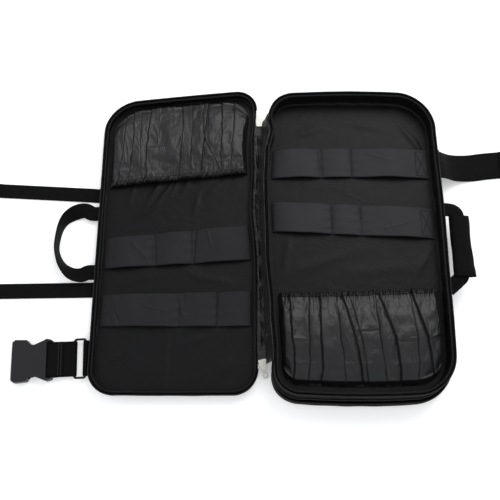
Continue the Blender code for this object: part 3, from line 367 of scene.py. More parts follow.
# ---- Cover: lining ----
# Thin black nylon taffeta sewn in along the rim. It lies loose on the foam, with soft slanting wrinkles.
# Wrinkles: share across, share along, direction in degrees, length, width, height, in metres
COVER_WRINKLES = (
    (0.34, 0.655, 62, 0.030, 0.0042, 0.0012), (0.40, 0.640, 55, 0.028, 0.0036, 0.0014),
    (0.47, 0.665, 58, 0.026, 0.0034, 0.0010), (0.56, 0.690, 70, 0.030, 0.0040, 0.0009),
    (0.30, 0.590, 25, 0.034, 0.0040, 0.0009), (0.62, 0.600, 78, 0.024, 0.0036, 0.0008),
    (0.20, 0.660, 80, 0.022, 0.0034, 0.0007), (0.72, 0.640, 40, 0.030, 0.0050, 0.0007),
    (0.45, 0.110, 88, 0.060, 0.0030, 0.0007), (0.80, 0.090, 60, 0.030, 0.0060, 0.0009),
    (0.15, 0.120, 35, 0.030, 0.0050, 0.0007), (0.60, 0.170, 20, 0.040, 0.0050, 0.0006),
    (0.30, 0.370, 10, 0.040, 0.0040, 0.0005), (0.70, 0.360, 170, 0.040, 0.0040, 0.0005),
)
COVER_LINING_WALL = ((0.0090, 0.0042), (0.0070, 0.0048), (0.0062, 0.0070), (0.0060, 0.0100), (0.0058, 0.0122))


def wrinkled(half, wrinkles, x, y):
    """How high the loose lining stands at this point, from its wrinkles and a fine unevenness."""
    width, length = half["right"] - half["left"], half["far"] - half["near"]
    height = 0.0
    for across, along, degrees, long, wide, tall in wrinkles:
        dx = x - half["left"] - across * width
        dy = y - half["near"] - along * length
        c, s = math.cos(math.radians(degrees)), math.sin(math.radians(degrees))
        run, off = dx * c + dy * s, dy * c - dx * s
        off += 0.0015 * uneven(run * 60, across * 9, along * 9)
        if abs(run) < 1.6 * long and abs(off) < 4 * wide:
            height += 1.6 * tall * math.exp(-(run / long) ** 2 * 2.0 - (off / wide) ** 2)
    return height + 0.0005 * uneven(x * 16, y * 22, 2.0)


# Taffeta: fine plain weave with a weak satin gloss, which the wrinkles catch
taffeta = woven("nylon_taffeta", "#08080a", 0.0007, 0.44, 0.01, 0.00006, 0.0008, 0.030, 0.15)


def cover_floor(u, v):
    x, y = plain_point(COVER, 0.0072, u, v)
    return cover_lay(x, y, COVER_LINING_TOP + 0.0002 + wrinkled(COVER, COVER_WRINKLES, x, y))


cover_floor_body = surface(cover_floor, 124, 210, (0.218, 0.424))
cover_lining_wall = rim_strip(COVER, COVER_LINING_WALL, 0.0, 1.0, RIM_STEPS, 0.0005, 2.0)
cover_lining = piece("cover_inner_lining", [cover_floor_body, cover_lining_wall], taffeta,
                     ("cover_lining",))

# ---- Tray and pouch: outer shells ----
# The deep half is a padded tray with a closed pouch under it, both of the same coated cloth. The pouch stands
# out a little beyond the tray at the near edge.
TRAY = {"left": 0.021, "right": 0.269, "near": -0.225, "far": 0.211, "corners": (0.052, 0.055, 0.042, 0.040)}
POUCH = {"left": 0.021, "right": 0.272, "near": -0.231, "far": 0.212, "corners": (0.052, 0.055, 0.042, 0.040)}
TRAY_FLOOR = 0.0223
TRAY_HEIGHT = 0.047
TRAY_LINING_TOP = TRAY_FLOOR + PADDED_WALL + CLEARANCE + LINING
TRAY_CROWN = 0.005
TRAY_BULGE = 0.003
# Sideways sway of the tray's spine edge: share of the length from the near end, share of the width
TRAY_SWAY = ((0.0, 0.016), (0.12, 0.038), (0.25, 0.024), (0.45, 0.0), (0.68, -0.008), (0.79, 0.0),
             (0.87, 0.030), (0.94, 0.012), (1.0, 0.0))
# Walls from foot to rim and down inside: distance in from the outline, height
TRAY_WALL = ((0.0060, 0.0224), (0.0030, 0.0236), (0.0014, 0.0290), (0.0013, 0.0350), (0.0016, 0.0410),
             (0.0024, 0.0466), (0.0040, 0.0474), (0.0056, 0.0468), (0.0050, 0.0400))
POUCH_WALL = ((0.040, 0.0010), (0.014, 0.0002), (0.0050, 0.0000), (0.0014, 0.0024), (0.0002, 0.0065),
              (0.0003, 0.0110), (0.0013, 0.0152), (0.0026, 0.0156))


def tray_lay(x, y, z):
    """A point of the square tray or pouch, moved to where the cloth lies."""
    width, length = TRAY["right"] - TRAY["left"], TRAY["far"] - TRAY["near"]
    across = min(max((x - TRAY["left"]) / width, 0.0), 1.0)
    along = (y - TRAY["near"]) / length
    lift = max(0.0, z - TRAY_LINING_TOP) * between(RIM_RIPPLE, 1.0 - along)
    sway = width * between(TRAY_SWAY, along) * (1.0 - across) ** 2
    bulge = TRAY_BULGE * math.sin(math.pi * min(max(along, 0.0), 1.0)) * across
    crown = TRAY_CROWN * (2.0 * along - 1.0) * math.sin(math.pi * across)
    return Vector((x + sway + bulge, y + crown, z + lift))


for half in (TRAY, POUCH):
    half["stops"] = rim_stops(half)
    half["lay"] = tray_lay

tray_wall = rim_strip(TRAY, TRAY_WALL, 0.0, 1.0, RIM_STEPS, 0.0006, 3.0)
tray_shell = piece("tray_outer_shell", tray_wall, oxford_cloth, ("tray_shell",))
pouch_wall = rim_strip(POUCH, POUCH_WALL, 0.0, 1.0, RIM_STEPS, 0.0006, 4.0)
pouch_bottom = surface(lambda u, v: tray_lay(*plain_point(POUCH, 0.038, u, v), 0.0010
                       + 0.0003 * uneven(u * 9, v * 14, 8.0)), 60, 110, (0.20, 0.40))
pouch_shell = piece("pouch_outer_shell", [pouch_wall, pouch_bottom], oxford_cloth,
                    ("back_pouch_shell",))

# ---- Tray: lining ----
# The same taffeta, taut on the floor and loose on the tall walls, where it gathers at the corners.
TRAY_LINING_WALL = ((0.0110, 0.0264), (0.0080, 0.0272), (0.0066, 0.0300), (0.0060, 0.0350), (0.0058, 0.0400),
                    (0.0060, 0.0455))
# Wrinkles, in the same columns as the cover's
TRAY_WRINKLES = (
    (0.25, 0.880, 15, 0.040, 0.0060, 0.0007), (0.60, 0.900, 170, 0.050, 0.0060, 0.0006),
    (0.85, 0.870, 120, 0.030, 0.0045, 0.0010), (0.90, 0.830, 110, 0.026, 0.0040, 0.0009),
    (0.30, 0.420, 20, 0.060, 0.0080, 0.0006), (0.65, 0.400, 5, 0.070, 0.0090, 0.0005),
    (0.88, 0.420, 60, 0.030, 0.0050, 0.0007), (0.12, 0.450, 80, 0.040, 0.0050, 0.0006),
)
WALL_WRINKLE = 0.0011


def tray_floor(u, v):
    x, y = plain_point(TRAY, 0.0085, u, v)
    return tray_lay(x, y, TRAY_LINING_TOP + 0.0002 + wrinkled(TRAY, TRAY_WRINKLES, x, y))


def tray_lining_side(u, v):
    """The tall wall of the lining: its slack stands in uneven upright wrinkles, most of them at the corners."""
    inset, height = through(TRAY_LINING_WALL, v)
    loose = math.sin(math.pi * min(1.0, v * 1.05)) * WALL_WRINKLE
    inset += loose * (wobble(u, 110, 7.0) + 0.5 * wobble(u + v * 0.01, 230, 9.0))
    x, y = rim_point(TRAY, inset, u)
    return tray_lay(x, y, height + 0.3 * loose * wobble(u, 70, 11.0))


tray_floor_body = surface(tray_floor, 124, 210, (0.231, 0.419))
tray_lining_wall = surface(tray_lining_side, 700, 14, (TRAY["round"], 0.024), closed=True)
tray_lining = piece("tray_inner_lining", [tray_floor_body, tray_lining_wall], taffeta,
                    ("tray_lining",))

# ---- Piping round the three rims ----
# Bias-cut cloth folded over a cord and sewn between wall and lining. It rounds each rim off and catches a
# thin line of light. It wanders a little, as hand-fed piping does.
PIPING_RADIUS = 0.0018
# The cloth over the cord is drawn this much slimmer than the solid
PIPING_SLIM = 0.80
RIM_INSET = 0.0061
# Bias binding: the same nylon with its weave on the slant, its colour painted lighter than the lining's all
# round: painted sheen for the line of light along the rim's top
binding_painted_sheen = woven("bias_binding_painted_sheen", "#0f0f11", 0.0008, 0.52, 0.02, 0.00018, 0.0005, 0.006, 0.16)


def piping(half, inset, height, seed):
    """A cord covered with cloth, round the whole rim."""

    def place(u, v):
        turn = 2 * math.pi * v
        radius = PIPING_SLIM * PIPING_RADIUS * (1.0 + 0.12 * wobble(u, 240, seed))
        x, y = rim_point(half, inset + 0.0005 * wobble(u, 70, seed) + radius * math.cos(turn), u)
        return half["lay"](x, y, height + 0.0004 * wobble(u, 50, seed + 2) + radius * math.sin(turn))

    return surface(place, 640, 12, (half["round"], 2 * math.pi * PIPING_RADIUS), closed=True)


for name, half, inset, foot, seed, node in (
        ("cover_rim_piping", COVER, RIM_INSET, COVER_HEIGHT + CLEARANCE, 21.0, "cover_binding"),
        ("tray_rim_piping", TRAY, RIM_INSET, TRAY_HEIGHT + CLEARANCE, 22.0, "tray_binding"),
        ("pouch_piping", TRAY, 0.0004, TRAY_FLOOR + 0.0025, 23.0, "back_pouch_binding")):
    piece(name, piping(half, inset, foot + PIPING_RADIUS, seed), binding_painted_sheen, (node,))

# ---- Zips ----
# The open zip: half of it stands on each wall, a tape with a row of nylon coil teeth along its free edge. The
# pouch has its own zip, closed, all round under the tray.
TEETH_PITCH = 0.0024
TOOTH = (0.0016, 0.0020, 0.0016)
TEETH_INSET = 0.0021
# Zip tape: a tight herringbone that shows as fine lines along the tape
tape_cloth = woven("zip_tape", "#0a0a0b", 0.0010, 0.80, 0.02, 0.00015, gloss=0.12)
# Nylon coil: moulded monofilament, black, with a dull gloss on each turn
coil_plastic = new_material("nylon_coil", {"Base Color": linear("#101011"), "Roughness": 0.38, "IOR": 1.53})


def teeth(half, inset, height, start, end):
    """Rounded teeth along a rim, each a small ball drawn out across the tape's edge."""
    body = bmesh.new()
    count = round(half["round"] * (end - start) / TEETH_PITCH)
    for i in range(count):
        share = start + (end - start) * (i + 0.5) / count
        here = half["lay"](*rim_point(half, inset, share), height)
        ahead = half["lay"](*rim_point(half, inset, share + 0.0005), height)
        run = (ahead - here).normalized()
        side = Vector((-run.y, run.x, 0.0))
        turn = Matrix((run, side, Vector((0, 0, 1)))).transposed().to_4x4()
        place = Matrix.Translation(here) @ turn @ Matrix.Diagonal((*[size / 2 for size in TOOTH], 1.0))
        bmesh.ops.create_icosphere(body, subdivisions=1, radius=1.0, matrix=place)
    return body


cover_zip_section = ((0.0042, 0.0134), (0.0034, 0.0137), (0.0026, 0.0150), (0.0019, 0.0166), (0.0019, 0.0176))
tray_zip_section = ((0.0042, 0.0474), (0.0034, 0.0477), (0.0026, 0.0490), (0.0019, 0.0506), (0.0019, 0.0516))
cover_ends = (COVER["stops"][2], 1.0 + COVER["stops"][1])
tray_ends = (TRAY["stops"][6], 1.0 + TRAY["stops"][5])
for name, half, section, ends, seed in (("cover_zip", COVER, cover_zip_section, cover_ends, 31.0),
                                        ("tray_zip", TRAY, tray_zip_section, tray_ends, 32.0)):
    tape_body = rim_strip(half, section, *ends, RIM_STEPS, 0.0004, seed)
    tape = piece(name + "_half", tape_body, tape_cloth, (name + "_tape",))
    thicken(tape, 0.0008, 0.0)
piece("cover_zip_teeth", teeth(COVER, TEETH_INSET, 0.0176, *cover_ends), coil_plastic)
piece("tray_zip_teeth", teeth(TRAY, TEETH_INSET, 0.0516, *tray_ends), coil_plastic)
POUCH_ZIP = ((0.0030, 0.0156), (0.0016, 0.0162), (0.0012, 0.0175), (0.0014, 0.0190), (0.0012, 0.0205),
             (0.0016, 0.0218), (0.0030, 0.0222))
piece("pouch_zip", rim_strip(POUCH, POUCH_ZIP, 0.0, 1.0, RIM_STEPS, 0.0003, 33.0), tape_cloth,
      ("back_pouch_zip_tape",))
piece("pouch_zip_teeth", teeth(POUCH, 0.0012, 0.0190, 0.0, 1.0), coil_plastic)

# ---- Spine ----
# A loose strip of lining cloth joins the two halves. It is cut longer than the gap, so it stands in puckers
# and creases, and it climbs from the cover's rim to the tray's.
SPINE_SHARES = (0.098, 0.872)
SPINE_PUCKER = 0.0034
# How far in from the cover's outline its edge is sewn, under the zip
SPINE_TUCK = 0.0036
# Share across from cover to tray, height in the middle of its length, height at its two ends
SPINE_PROFILE = ((0.0, 0.0128, 0.0120), (0.18, 0.0142, 0.0120), (0.36, 0.0122, 0.0120), (0.55, 0.0160, 0.0124),
                 (0.64, 0.0270, 0.0200), (1.0, 0.0450, 0.0430))
# Spine cloth: taffeta again, more creased and so glossier than the lining. Its colour is painted lighter than
# the lining's: painted highlight on the creases.
creased_taffeta_painted_highlight = woven("creased_taffeta_painted_highlight", "#111113", 0.0007, 0.36, 0.02, 0.00006, 0.0026, 0.013, 0.42)


def side_x(half, inset, y, side):
    """The x of a half's left or right wall at this y, before it is laid."""
    corner = (0, 1) if side == "right" else (3, 2)
    beyond = max(half["near"] + half["corners"][corner[0]] - y, 0.0,
                 y - half["far"] + half["corners"][corner[1]])
    radius = half["corners"][corner[0] if y < 0 else corner[1]]
    rounding = radius - math.sqrt(max(0.0, radius ** 2 - min(beyond, radius) ** 2))
    return half["right"] - inset - rounding if side == "right" else half["left"] + inset + rounding


def spine_place(u, v):
    share = SPINE_SHARES[0] + (SPINE_SHARES[1] - SPINE_SHARES[0]) * v
    start = cover_lay(COVER["right"] - SPINE_TUCK, COVER["near"] + share * (COVER["far"] - COVER["near"]), 0.0)
    end = tray_lay(side_x(TRAY, 0.0012, start.y, "left"), start.y, 0.0)
    loose = eased((min(v, 1.0 - v) - 0.03) / 0.08)
    middle = [(row[0], row[2] + (row[1] - row[2]) * loose) for row in SPINE_PROFILE]
    free = math.sin(math.pi * u) * loose
    crease = uneven(u * 2.2 + 0.8 * math.sin(v * 9), v * 24 + u * 3.0, 4.0)
    fine = uneven(u * 5.0, v * 62 + u * 9.0, 6.0)
    height = between(middle, u) + SPINE_PUCKER * free * (crease + 0.45 * fine)
    x = start.x + (end.x - start.x) * u + 0.0012 * free * uneven(u * 2, v * 30, 9.0)
    return Vector((x, start.y, height))


spine = piece("spine_cloth", surface(spine_place, 26, 360, (0.045, 0.364)), creased_taffeta_painted_highlight,
              ("spine_panel",))
thicken(spine, 0.0006, 1.0)

# ---- Elastic bands ----
# Wide woven elastic, sewn down at its ends and at two seams, with slack between for the knives. A square with
# a cross is stitched at each outer end.
BAND_WIDTH = 0.044
BAND_INSET = 0.012
BAND_SLACK = 0.0062
# Band: half, base height, y at its left end, y at its right end, seams as shares of its length, square end
BANDS = (
    ("cover_band_upper", COVER, COVER_LINING_TOP, -0.0458, -0.0458, (0.33, 0.60), "left"),
    ("cover_band_lower", COVER, COVER_LINING_TOP, -0.1275, -0.1275, (0.52, 0.78), "left"),
    ("tray_band_upper", TRAY, TRAY_LINING_TOP, 0.0845, 0.0845, (0.31, 0.51), "right"),
    ("tray_band_lower", TRAY, TRAY_LINING_TOP, 0.0030, -0.0070, (0.37, 0.55), "right"),
)
# Creases of each band: share along and share of the width at one end, the same at the other, height, half width
BAND_CREASES = {
    "cover_band_upper": (
        (0.345, 0.95, 0.355, 0.05, -0.0013, 0.0016), (0.640, 1.0, 0.612, 0.0, -0.0014, 0.0014),
        (0.710, 1.0, 0.735, 0.5, 0.0010, 0.0016), (0.20, 0.7, 0.30, 0.2, 0.0006, 0.0030),
    ),
    "cover_band_lower": (
        (0.52, 0.95, 0.55, 0.35, 0.0010, 0.0022), (0.58, 0.95, 0.56, 0.55, 0.0008, 0.0014),
        (0.095, 0.42, 0.130, 0.08, -0.0010, 0.0014), (0.780, 1.0, 0.775, 0.0, -0.0012, 0.0014),
        (0.30, 0.6, 0.42, 0.5, 0.0005, 0.0040),
    ),
    "tray_band_upper": (
        (0.300, 0.95, 0.305, 0.35, -0.0022, 0.0016), (0.315, 1.0, 0.320, 0.0, -0.0010, 0.0012),
        (0.505, 1.0, 0.510, 0.0, -0.0008, 0.0014), (0.62, 0.8, 0.74, 0.6, 0.0006, 0.0040),
    ),
    "tray_band_lower": (
        (0.370, 1.0, 0.368, 0.0, -0.0022, 0.0015), (0.545, 1.0, 0.547, 0.64, -0.0020, 0.0014),
        (0.70, 0.3, 0.82, 0.4, 0.0006, 0.0040),
    ),
}
# How deep the creases are drawn, how softly they end, and the puckers beside each seam
CREASE_DEPTH = 1.5
CREASE_END = 0.004
SEAM_PUCKER = 0.0007
SEAM_REACH = 0.007
# Sag of the slack, as a share of it, the gap under the elastic and how far a crease may sink into it
BAND_SAG = 0.30
BAND_GAP = 0.0009
BAND_SINK = 0.0004
# Seams at the ends, as a share of the length, and the height of all the stitching above the elastic's foot
BAND_HEM = 0.012
THREAD_HEIGHT = 0.0014
SQUARE = 0.018
STITCH = 0.0024
STITCH_GAP = 0.0009
THREAD = 0.0005
# Woven elastic: ribs 1.6 mm apart across the band, matt, a shade warmer than the lining. The tray's is the same
# elastic with its colour painted lighter: painted light, for the brighter light on the tray.
elastic_webs = [woven(*row, 0.0016, 0.58, 0.03, 0.00016, 0.0004, 0.030, 0.20)
                for row in (("woven_elastic", "#18171a"), ("elastic_painted_lighter", "#242326"))]
# Polyester thread: black, slightly shinier than the cloth it holds
thread = new_material("polyester_thread", {"Base Color": linear("#050506"), "Roughness": 0.5})


def stitches(body, points):
    """Sews along a line through these points: one short block for each stitch, sunk a little."""
    for start, end in zip(points, points[1:]):
        run = end - start
        count = max(1, round(run.length / (STITCH + STITCH_GAP)))
        for i in range(count):
            middle = start.lerp(end, (i + 0.5) / count)
            turn = run.to_track_quat("X", "Z").to_matrix().to_4x4()
            size = Matrix.Diagonal((run.length / count - STITCH_GAP, THREAD * 2, THREAD * 2, 1.0))
            bmesh.ops.create_cube(body, size=1.0, matrix=Matrix.Translation(middle) @ turn @ size)


for name, half, base, y_left, y_right, seams, square_end in BANDS:
    left, right = half["left"] + BAND_INSET, half["right"] - BAND_INSET
    stops = (0.0, *seams, 1.0)

    def band_place(u, v):
        """The band at a share of its length and width: arched between seams, pulled in a little at each."""
        i = max(k for k in range(3) if stops[k] <= u + 0.000001)
        t = min(1.0, (u - stops[i]) / (stops[i + 1] - stops[i]))
        slack = BAND_SLACK * min(1.0, (stops[i + 1] - stops[i]) / 0.3)
        lift = slack * max(0.0, math.sin(math.pi * t)) ** 0.7
        sag = BAND_SAG * slack * math.sin(math.pi * t) * uneven(u * 6, v * 1.2, base * 90 + y_left * 20)
        edge = 0.0005 * uneven(u * 9, 0.0, y_left * 50)
        lift = lift * 0.85 + sag
        for u0, v0, u1, v1, tall, wide in BAND_CREASES[name]:
            on = min(max((v - v0) / (v1 - v0), 0.0), 1.0)
            off = (u - u0 - (u1 - u0) * on) * (right - left)
            beyond = (v - v0 - (v1 - v0) * on) * BAND_WIDTH
            lift += CREASE_DEPTH * tall * math.exp(-(off / wide) ** 2 - (beyond / CREASE_END) ** 2)
        for seam in seams:
            gathered = math.exp(-abs(u - seam) * (right - left) / SEAM_REACH)
            lift += SEAM_PUCKER * gathered * math.sin(v * 21.0 + seam * 40) * min(1.0, abs(u - seam) * 90)
        y = y_left + (y_right - y_left) * u + BAND_WIDTH * v + edge
        return half["lay"](left + (right - left) * u, y, base + BAND_GAP + max(lift, -BAND_SINK))

    # The tray's bands take the copy of the elastic painted lighter: painted light, the same cloth as the cover's
    band = piece(name + "_elastic", surface(band_place, 220, 24, (right - left, BAND_WIDTH)),
                 elastic_webs[0 if half is COVER else 1], (name,))
    thicken(band, 0.0013, 1.0)
    seam_body = bmesh.new()
    edge_u = SQUARE / (right - left)
    ends = (BAND_HEM, edge_u) if square_end == "left" else (1.0 - edge_u, 1.0 - BAND_HEM)
    raise_by = Vector((0, 0, THREAD_HEIGHT))
    corner = [band_place(u, v) + raise_by for u, v in
              ((ends[0], 0.08), (ends[1], 0.08), (ends[1], 0.92), (ends[0], 0.92))]
    stitches(seam_body, corner + corner[:1])
    for cross in ((0, 2), (1, 3)):
        steps = [band_place(ends[0] + (ends[1] - ends[0]) * t, 0.08 + 0.84 * (t if cross[0] == 0 else 1 - t))
                 + raise_by for t in (0.0, 0.25, 0.5, 0.75, 1.0)]
        stitches(seam_body, steps)
    for seam in (*seams, 1.0 - BAND_HEM if square_end == "left" else BAND_HEM):
        stitches(seam_body, [band_place(seam, v) + raise_by for v in (0.02, 0.25, 0.5, 0.75, 0.98)])
    piece(name + "_stitches", seam_body, thread)

# ---- Gathered pockets ----
# Wide satin pockets, tucked along the sewn foot and gathered at the mouth on a narrow elastic. The folds run
# from foot to mouth, and the cloth stands loose and full between them.
POCKET_INSET = 0.0135
# Folds: share across at the foot, in the middle and at the mouth, depth of the fold, side that lies on top
COVER_FOLDS = (
    (0.095, 0.090, 0.062, 0.0040, 1), (0.145, 0.158, 0.138, 0.0045, 1), (0.205, 0.215, 0.225, 0.0010, 1),
    (0.275, 0.262, 0.262, 0.0044, 1), (0.345, 0.340, 0.350, 0.0008, -1), (0.505, 0.520, 0.505, 0.0042, 1),
    (0.575, 0.590, 0.590, 0.0030, -1), (0.700, 0.685, 0.665, 0.0046, -1), (0.665, 0.680, 0.805, 0.0024, 1),
    (0.795, 0.810, 0.812, 0.0040, 1), (0.885, 0.895, 0.880, 0.0030, 1),
)
TRAY_FOLDS = (
    (0.086, 0.075, 0.068, 0.0050, 1), (0.169, 0.172, 0.188, 0.0034, -1), (0.258, 0.255, 0.262, 0.0052, 1),
    (0.400, 0.372, 0.360, 0.0034, -1), (0.515, 0.470, 0.400, 0.0056, 1), (0.545, 0.505, 0.440, 0.0030, 1),
    (0.652, 0.610, 0.600, 0.0036, -1), (0.745, 0.715, 0.628, 0.0056, 1), (0.845, 0.835, 0.815, 0.0034, -1),
    (0.940, 0.905, 0.830, 0.0054, 1),
)
# Rise of the pocket from its foot to its mouth: share of the way, share of the lift
POCKET_RISE = ((0.0, 0.0), (0.07, 0.55), (0.25, 0.90), (0.55, 1.0), (0.85, 0.90), (1.0, 0.70))
POCKETS = (
    {"name": "cover_pocket", "half": COVER, "folds": COVER_FOLDS, "foot": 0.2055, "mouth": (0.0845, 0.0845),
     "corners": (0.046, 0.034), "base": COVER_LINING_TOP + CLEARANCE, "lift": 0.011, "seed": 40.0,
     "peaks": (), "kinked": False, "cross": ((0.62, 0.68, 0.30, 0.0006), (0.30, 0.36, 0.60, 0.0005))},
    {"name": "tray_pocket", "half": TRAY, "folds": TRAY_FOLDS, "foot": -0.208, "mouth": (-0.093, -0.087),
     "corners": (0.026, 0.034), "base": TRAY_LINING_TOP + CLEARANCE, "lift": 0.015, "seed": 50.0,
     "peaks": ((0.60, 0.0022), (0.825, 0.0016)), "kinked": True,
     "cross": ((0.090, 0.160, 0.49, 0.0010), (0.480, 0.60, 0.60, 0.0010), (0.725, 0.82, 0.48, 0.0010),
               (0.91, 0.99, 0.47, 0.0010))},
)
# Satin: floats of yarn along the pocket give long soft highlights down each fold
satin = woven("pocket_satin", "#121214", 0.0006, 0.36, 0.02, 0.00005, 0.0007, 0.026, 0.34)
GATHER_PITCH = 0.0072
# A tuck: how sharply its edge steps down, and how far its upper and its lower cloth take to level out
TUCK_EDGE = 0.0006
TUCK_TOP = 0.010
TUCK_UNDER = 0.006
# Its step and the groove under its edge, as shares of its depth, the groove's width, and how far its line strays
TUCK_STEP = 0.42
TUCK_GROOVE = 0.16
GROOVE_WIDTH = 0.0009
TUCK_WANDER = 0.0012
# How softly a fold across the pocket ends
CROSS_END = 0.003
# The sides of a pocket round down over this, and its gathers reach this far from the mouth and the foot
SIDE_ROUNDING = 0.0028
GATHER_REACH = 0.008
MOUTH_GATHER = 0.0007
FOOT_GATHER = 0.0006
# Looseness of the satin: large and small swells
LARGE_SWELL = 0.0022
SMALL_SWELL = 0.0005


def pocket_place(pocket, u, v):
    """The pocket's cloth at a share across it and a share of the way from its foot to its mouth."""
    half, away = pocket["half"], math.copysign(1.0, pocket["mouth"][0] - pocket["foot"])
    left, right = half["left"] + POCKET_INSET, half["right"] - POCKET_INSET
    x = left + (right - left) * u
    mouth = pocket["mouth"][0] + (pocket["mouth"][1] - pocket["mouth"][0]) * u
    mouth += sum(size * math.exp(-((u - spot) / 0.02) ** 2) for spot, size in pocket["peaks"])
    side, radius = min((x - left, pocket["corners"][0]), (right - x, pocket["corners"][1]))
    beyond = min(max(0.0, radius - side), radius)
    foot = pocket["foot"] + away * (radius - math.sqrt(radius ** 2 - beyond ** 2))
    y = foot + (mouth - foot) * v
    edge = min(u, 1.0 - u) * (right - left)
    full = 1.0 - math.exp(-edge / SIDE_ROUNDING)
    height = pocket["lift"] * between(POCKET_RISE, v) * full
    wander = 0.004 * uneven(0.0, v * 3.0, pocket["seed"])
    fold_depth = 0.0
    for k, (at_foot, at_middle, at_mouth, depth, side) in enumerate(pocket["folds"]):
        if pocket["kinked"]:
            line = (at_middle + (at_mouth - at_middle) * (2 * v - 1) if v > 0.5
                    else at_foot + (at_middle - at_foot) * 2 * v)
        else:
            line = through(((at_foot, 0), (at_middle, 0), (at_mouth, 0)), v)[0]
        off = ((u - line) * (right - left) + TUCK_WANDER * uneven(v * 7, k * 3.0, pocket["seed"])) * side
        lap = math.tanh(off / TUCK_EDGE)
        fold_depth += TUCK_STEP * depth * lap * math.exp(-abs(off) / (TUCK_TOP if off > 0 else TUCK_UNDER))
        fold_depth -= TUCK_GROOVE * depth * math.exp(-((off + TUCK_EDGE) / GROOVE_WIDTH) ** 2)
    for u0, u1, at, deep in pocket["cross"]:
        beyond = max(u0 - u, u - u1, 0.0) * (right - left)
        off = (v - at) * abs(mouth - foot)
        fades = math.exp(-abs(off) / TUCK_UNDER - (beyond / CROSS_END) ** 2)
        fold_depth += deep * math.tanh(off / TUCK_EDGE) * fades
    near_mouth = math.exp(-(1.0 - v) * abs(mouth - foot) / GATHER_REACH)
    phase = 2 * math.pi * (x / GATHER_PITCH + 1.1 * uneven(x * 34, 0, pocket["seed"]))
    pucker = MOUTH_GATHER * near_mouth * math.sin(phase) * (1.0 + 1.2 * uneven(x * 60, 1.0, pocket["seed"]))
    near_foot = math.exp(-v * abs(mouth - foot) / GATHER_REACH)
    pucker += FOOT_GATHER * near_foot * math.sin(phase * 0.55)
    loose = LARGE_SWELL * uneven(x * 30 + wander * 50, y * 13, pocket["seed"] + 1)
    loose += SMALL_SWELL * uneven(x * 80, y * 50, pocket["seed"] + 2)
    shape = eased(v / 0.05)
    height += (fold_depth + loose) * full * shape + pucker * full
    return half["lay"](x, y, pocket["base"] + 0.0004 + max(height, 0.0003))


def ruffle_place(pocket, u, v):
    """The gathered hem beyond the mouth, over its elastic: it crinkles from side to side."""
    start = pocket_place(pocket, u, 1.0)
    away = math.copysign(1.0, pocket["mouth"][0] - pocket["foot"])
    x = start.x
    phase = 2 * math.pi * (x / (GATHER_PITCH * 0.5) + 1.1 * uneven(x * 70, 3.0, pocket["seed"]))
    sewn = math.exp(-((v - 0.35) / 0.16) ** 2)
    out = 0.0066 * v + 0.0010 * v * uneven(x * 210, 0, pocket["seed"] + 8)
    rise = 0.0022 * math.sin(math.pi * min(1.0, v * 0.9)) - 0.0012 * sewn - 0.0022 * v ** 3
    crinkle = (0.0006 + 0.0012 * v) * (1.0 - 0.5 * sewn) * math.sin(phase + 1.4 * v)
    ends = eased(min(u, 1.0 - u) / 0.02)
    return start + Vector((0.0006 * math.sin(phase * 1.7) * v, away * out, (rise + crinkle) * ends))


CLOTH_SETTINGS = {
    "quality": 4, "mass": 0.12, "tension_stiffness": 12.0, "compression_stiffness": 12.0, "shear_stiffness": 4.0,
    "bending_stiffness": 0.25, "vertex_group_mass": "sewn", "use_pressure": True}


def simulate(made, held, growth, pressure, most, frames):
    """Blender's cloth: the loose cloth grows a little between its sewn edges and buckles, by at most most."""
    before = [vert.co.copy() for vert in made.data.vertices]
    group = made.vertex_groups.new(name="sewn")
    group.add(held, 1.0, "REPLACE")
    cloth = made.modifiers.new("cloth", "CLOTH")
    for setting, value in CLOTH_SETTINGS.items():
        setattr(cloth.settings, setting, value)
    cloth.settings.shrink_min = -growth
    cloth.settings.uniform_pressure_force = pressure
    # The bag lies flat, so its weight shapes nothing
    cloth.settings.effector_weights.gravity = 0.0
    cloth.collision_settings.use_collision = False
    cloth.point_cache.frame_start = 1
    cloth.point_cache.frame_end = frames
    for step in range(1, frames + 1):
        bpy.context.scene.frame_set(step)
    settled = bpy.data.meshes.new_from_object(made.evaluated_get(bpy.context.evaluated_depsgraph_get()))
    for vert, old in zip(settled.vertices, before):
        move = vert.co - old
        vert.co = old + move * min(1.0, most / max(move.length, 0.000001))
    made.modifiers.remove(cloth)
    made.vertex_groups.clear()
    made.data = settled
    bpy.context.scene.frame_set(1)


SATIN = 0.0005
POCKET_GRID = (370, 90)
# Cloth lower than this above the lining is held, and so are the rows at the mouth
SEWN_HEIGHT = 0.0016
MOUTH_ROWS = 3
CLOTH_GROWTH = 0.012
CLOTH_PRESSURE = 0.3
CLOTH_MOST = 0.0011
CLOTH_FRAMES = 10
for pocket in POCKETS:
    half = pocket["half"]
    wide = half["right"] - half["left"] - 2 * POCKET_INSET
    deep = abs(pocket["foot"] - pocket["mouth"][0])
    cloth_body = surface(lambda u, v: pocket_place(pocket, u, v), *POCKET_GRID, (wide * 1.3, deep))
    made = piece(pocket["name"] + "_satin", cloth_body, satin, (pocket["name"],))
    count = len(made.data.vertices)
    held = [vert.index for vert in made.data.vertices if vert.co.z < pocket["base"] + SEWN_HEIGHT
            or vert.index >= count - MOUTH_ROWS * (POCKET_GRID[0] + 1)]
    simulate(made, held, CLOTH_GROWTH, CLOTH_PRESSURE, CLOTH_MOST, CLOTH_FRAMES)
    thicken(made, SATIN, 1.0)
    ruffle_body = surface(lambda u, v: ruffle_place(pocket, u, v), 760, 10, (wide * 1.6, 0.007))
    ruffle = piece(pocket["name"] + "_ruffle", ruffle_body, satin,
                   (pocket["name"] + "_elastic",))
    thicken(ruffle, SATIN, 0.0)

# ---- Straps, handle and tabs ----
# Polypropylene webbing: two narrow closing straps on the cover, one wide strap on the tray, a carrying handle
# that has twisted over on the table, and the pieces that hold the ring and the buckle.
WEBBING = 0.0016
# Webbing: ribs 1.5 mm apart along the strap, matt black
webbing = woven("polypropylene_webbing", "#080809", 0.0015, 0.72, 0.01, 0.00045, 0.0, 0.01, 0.08)
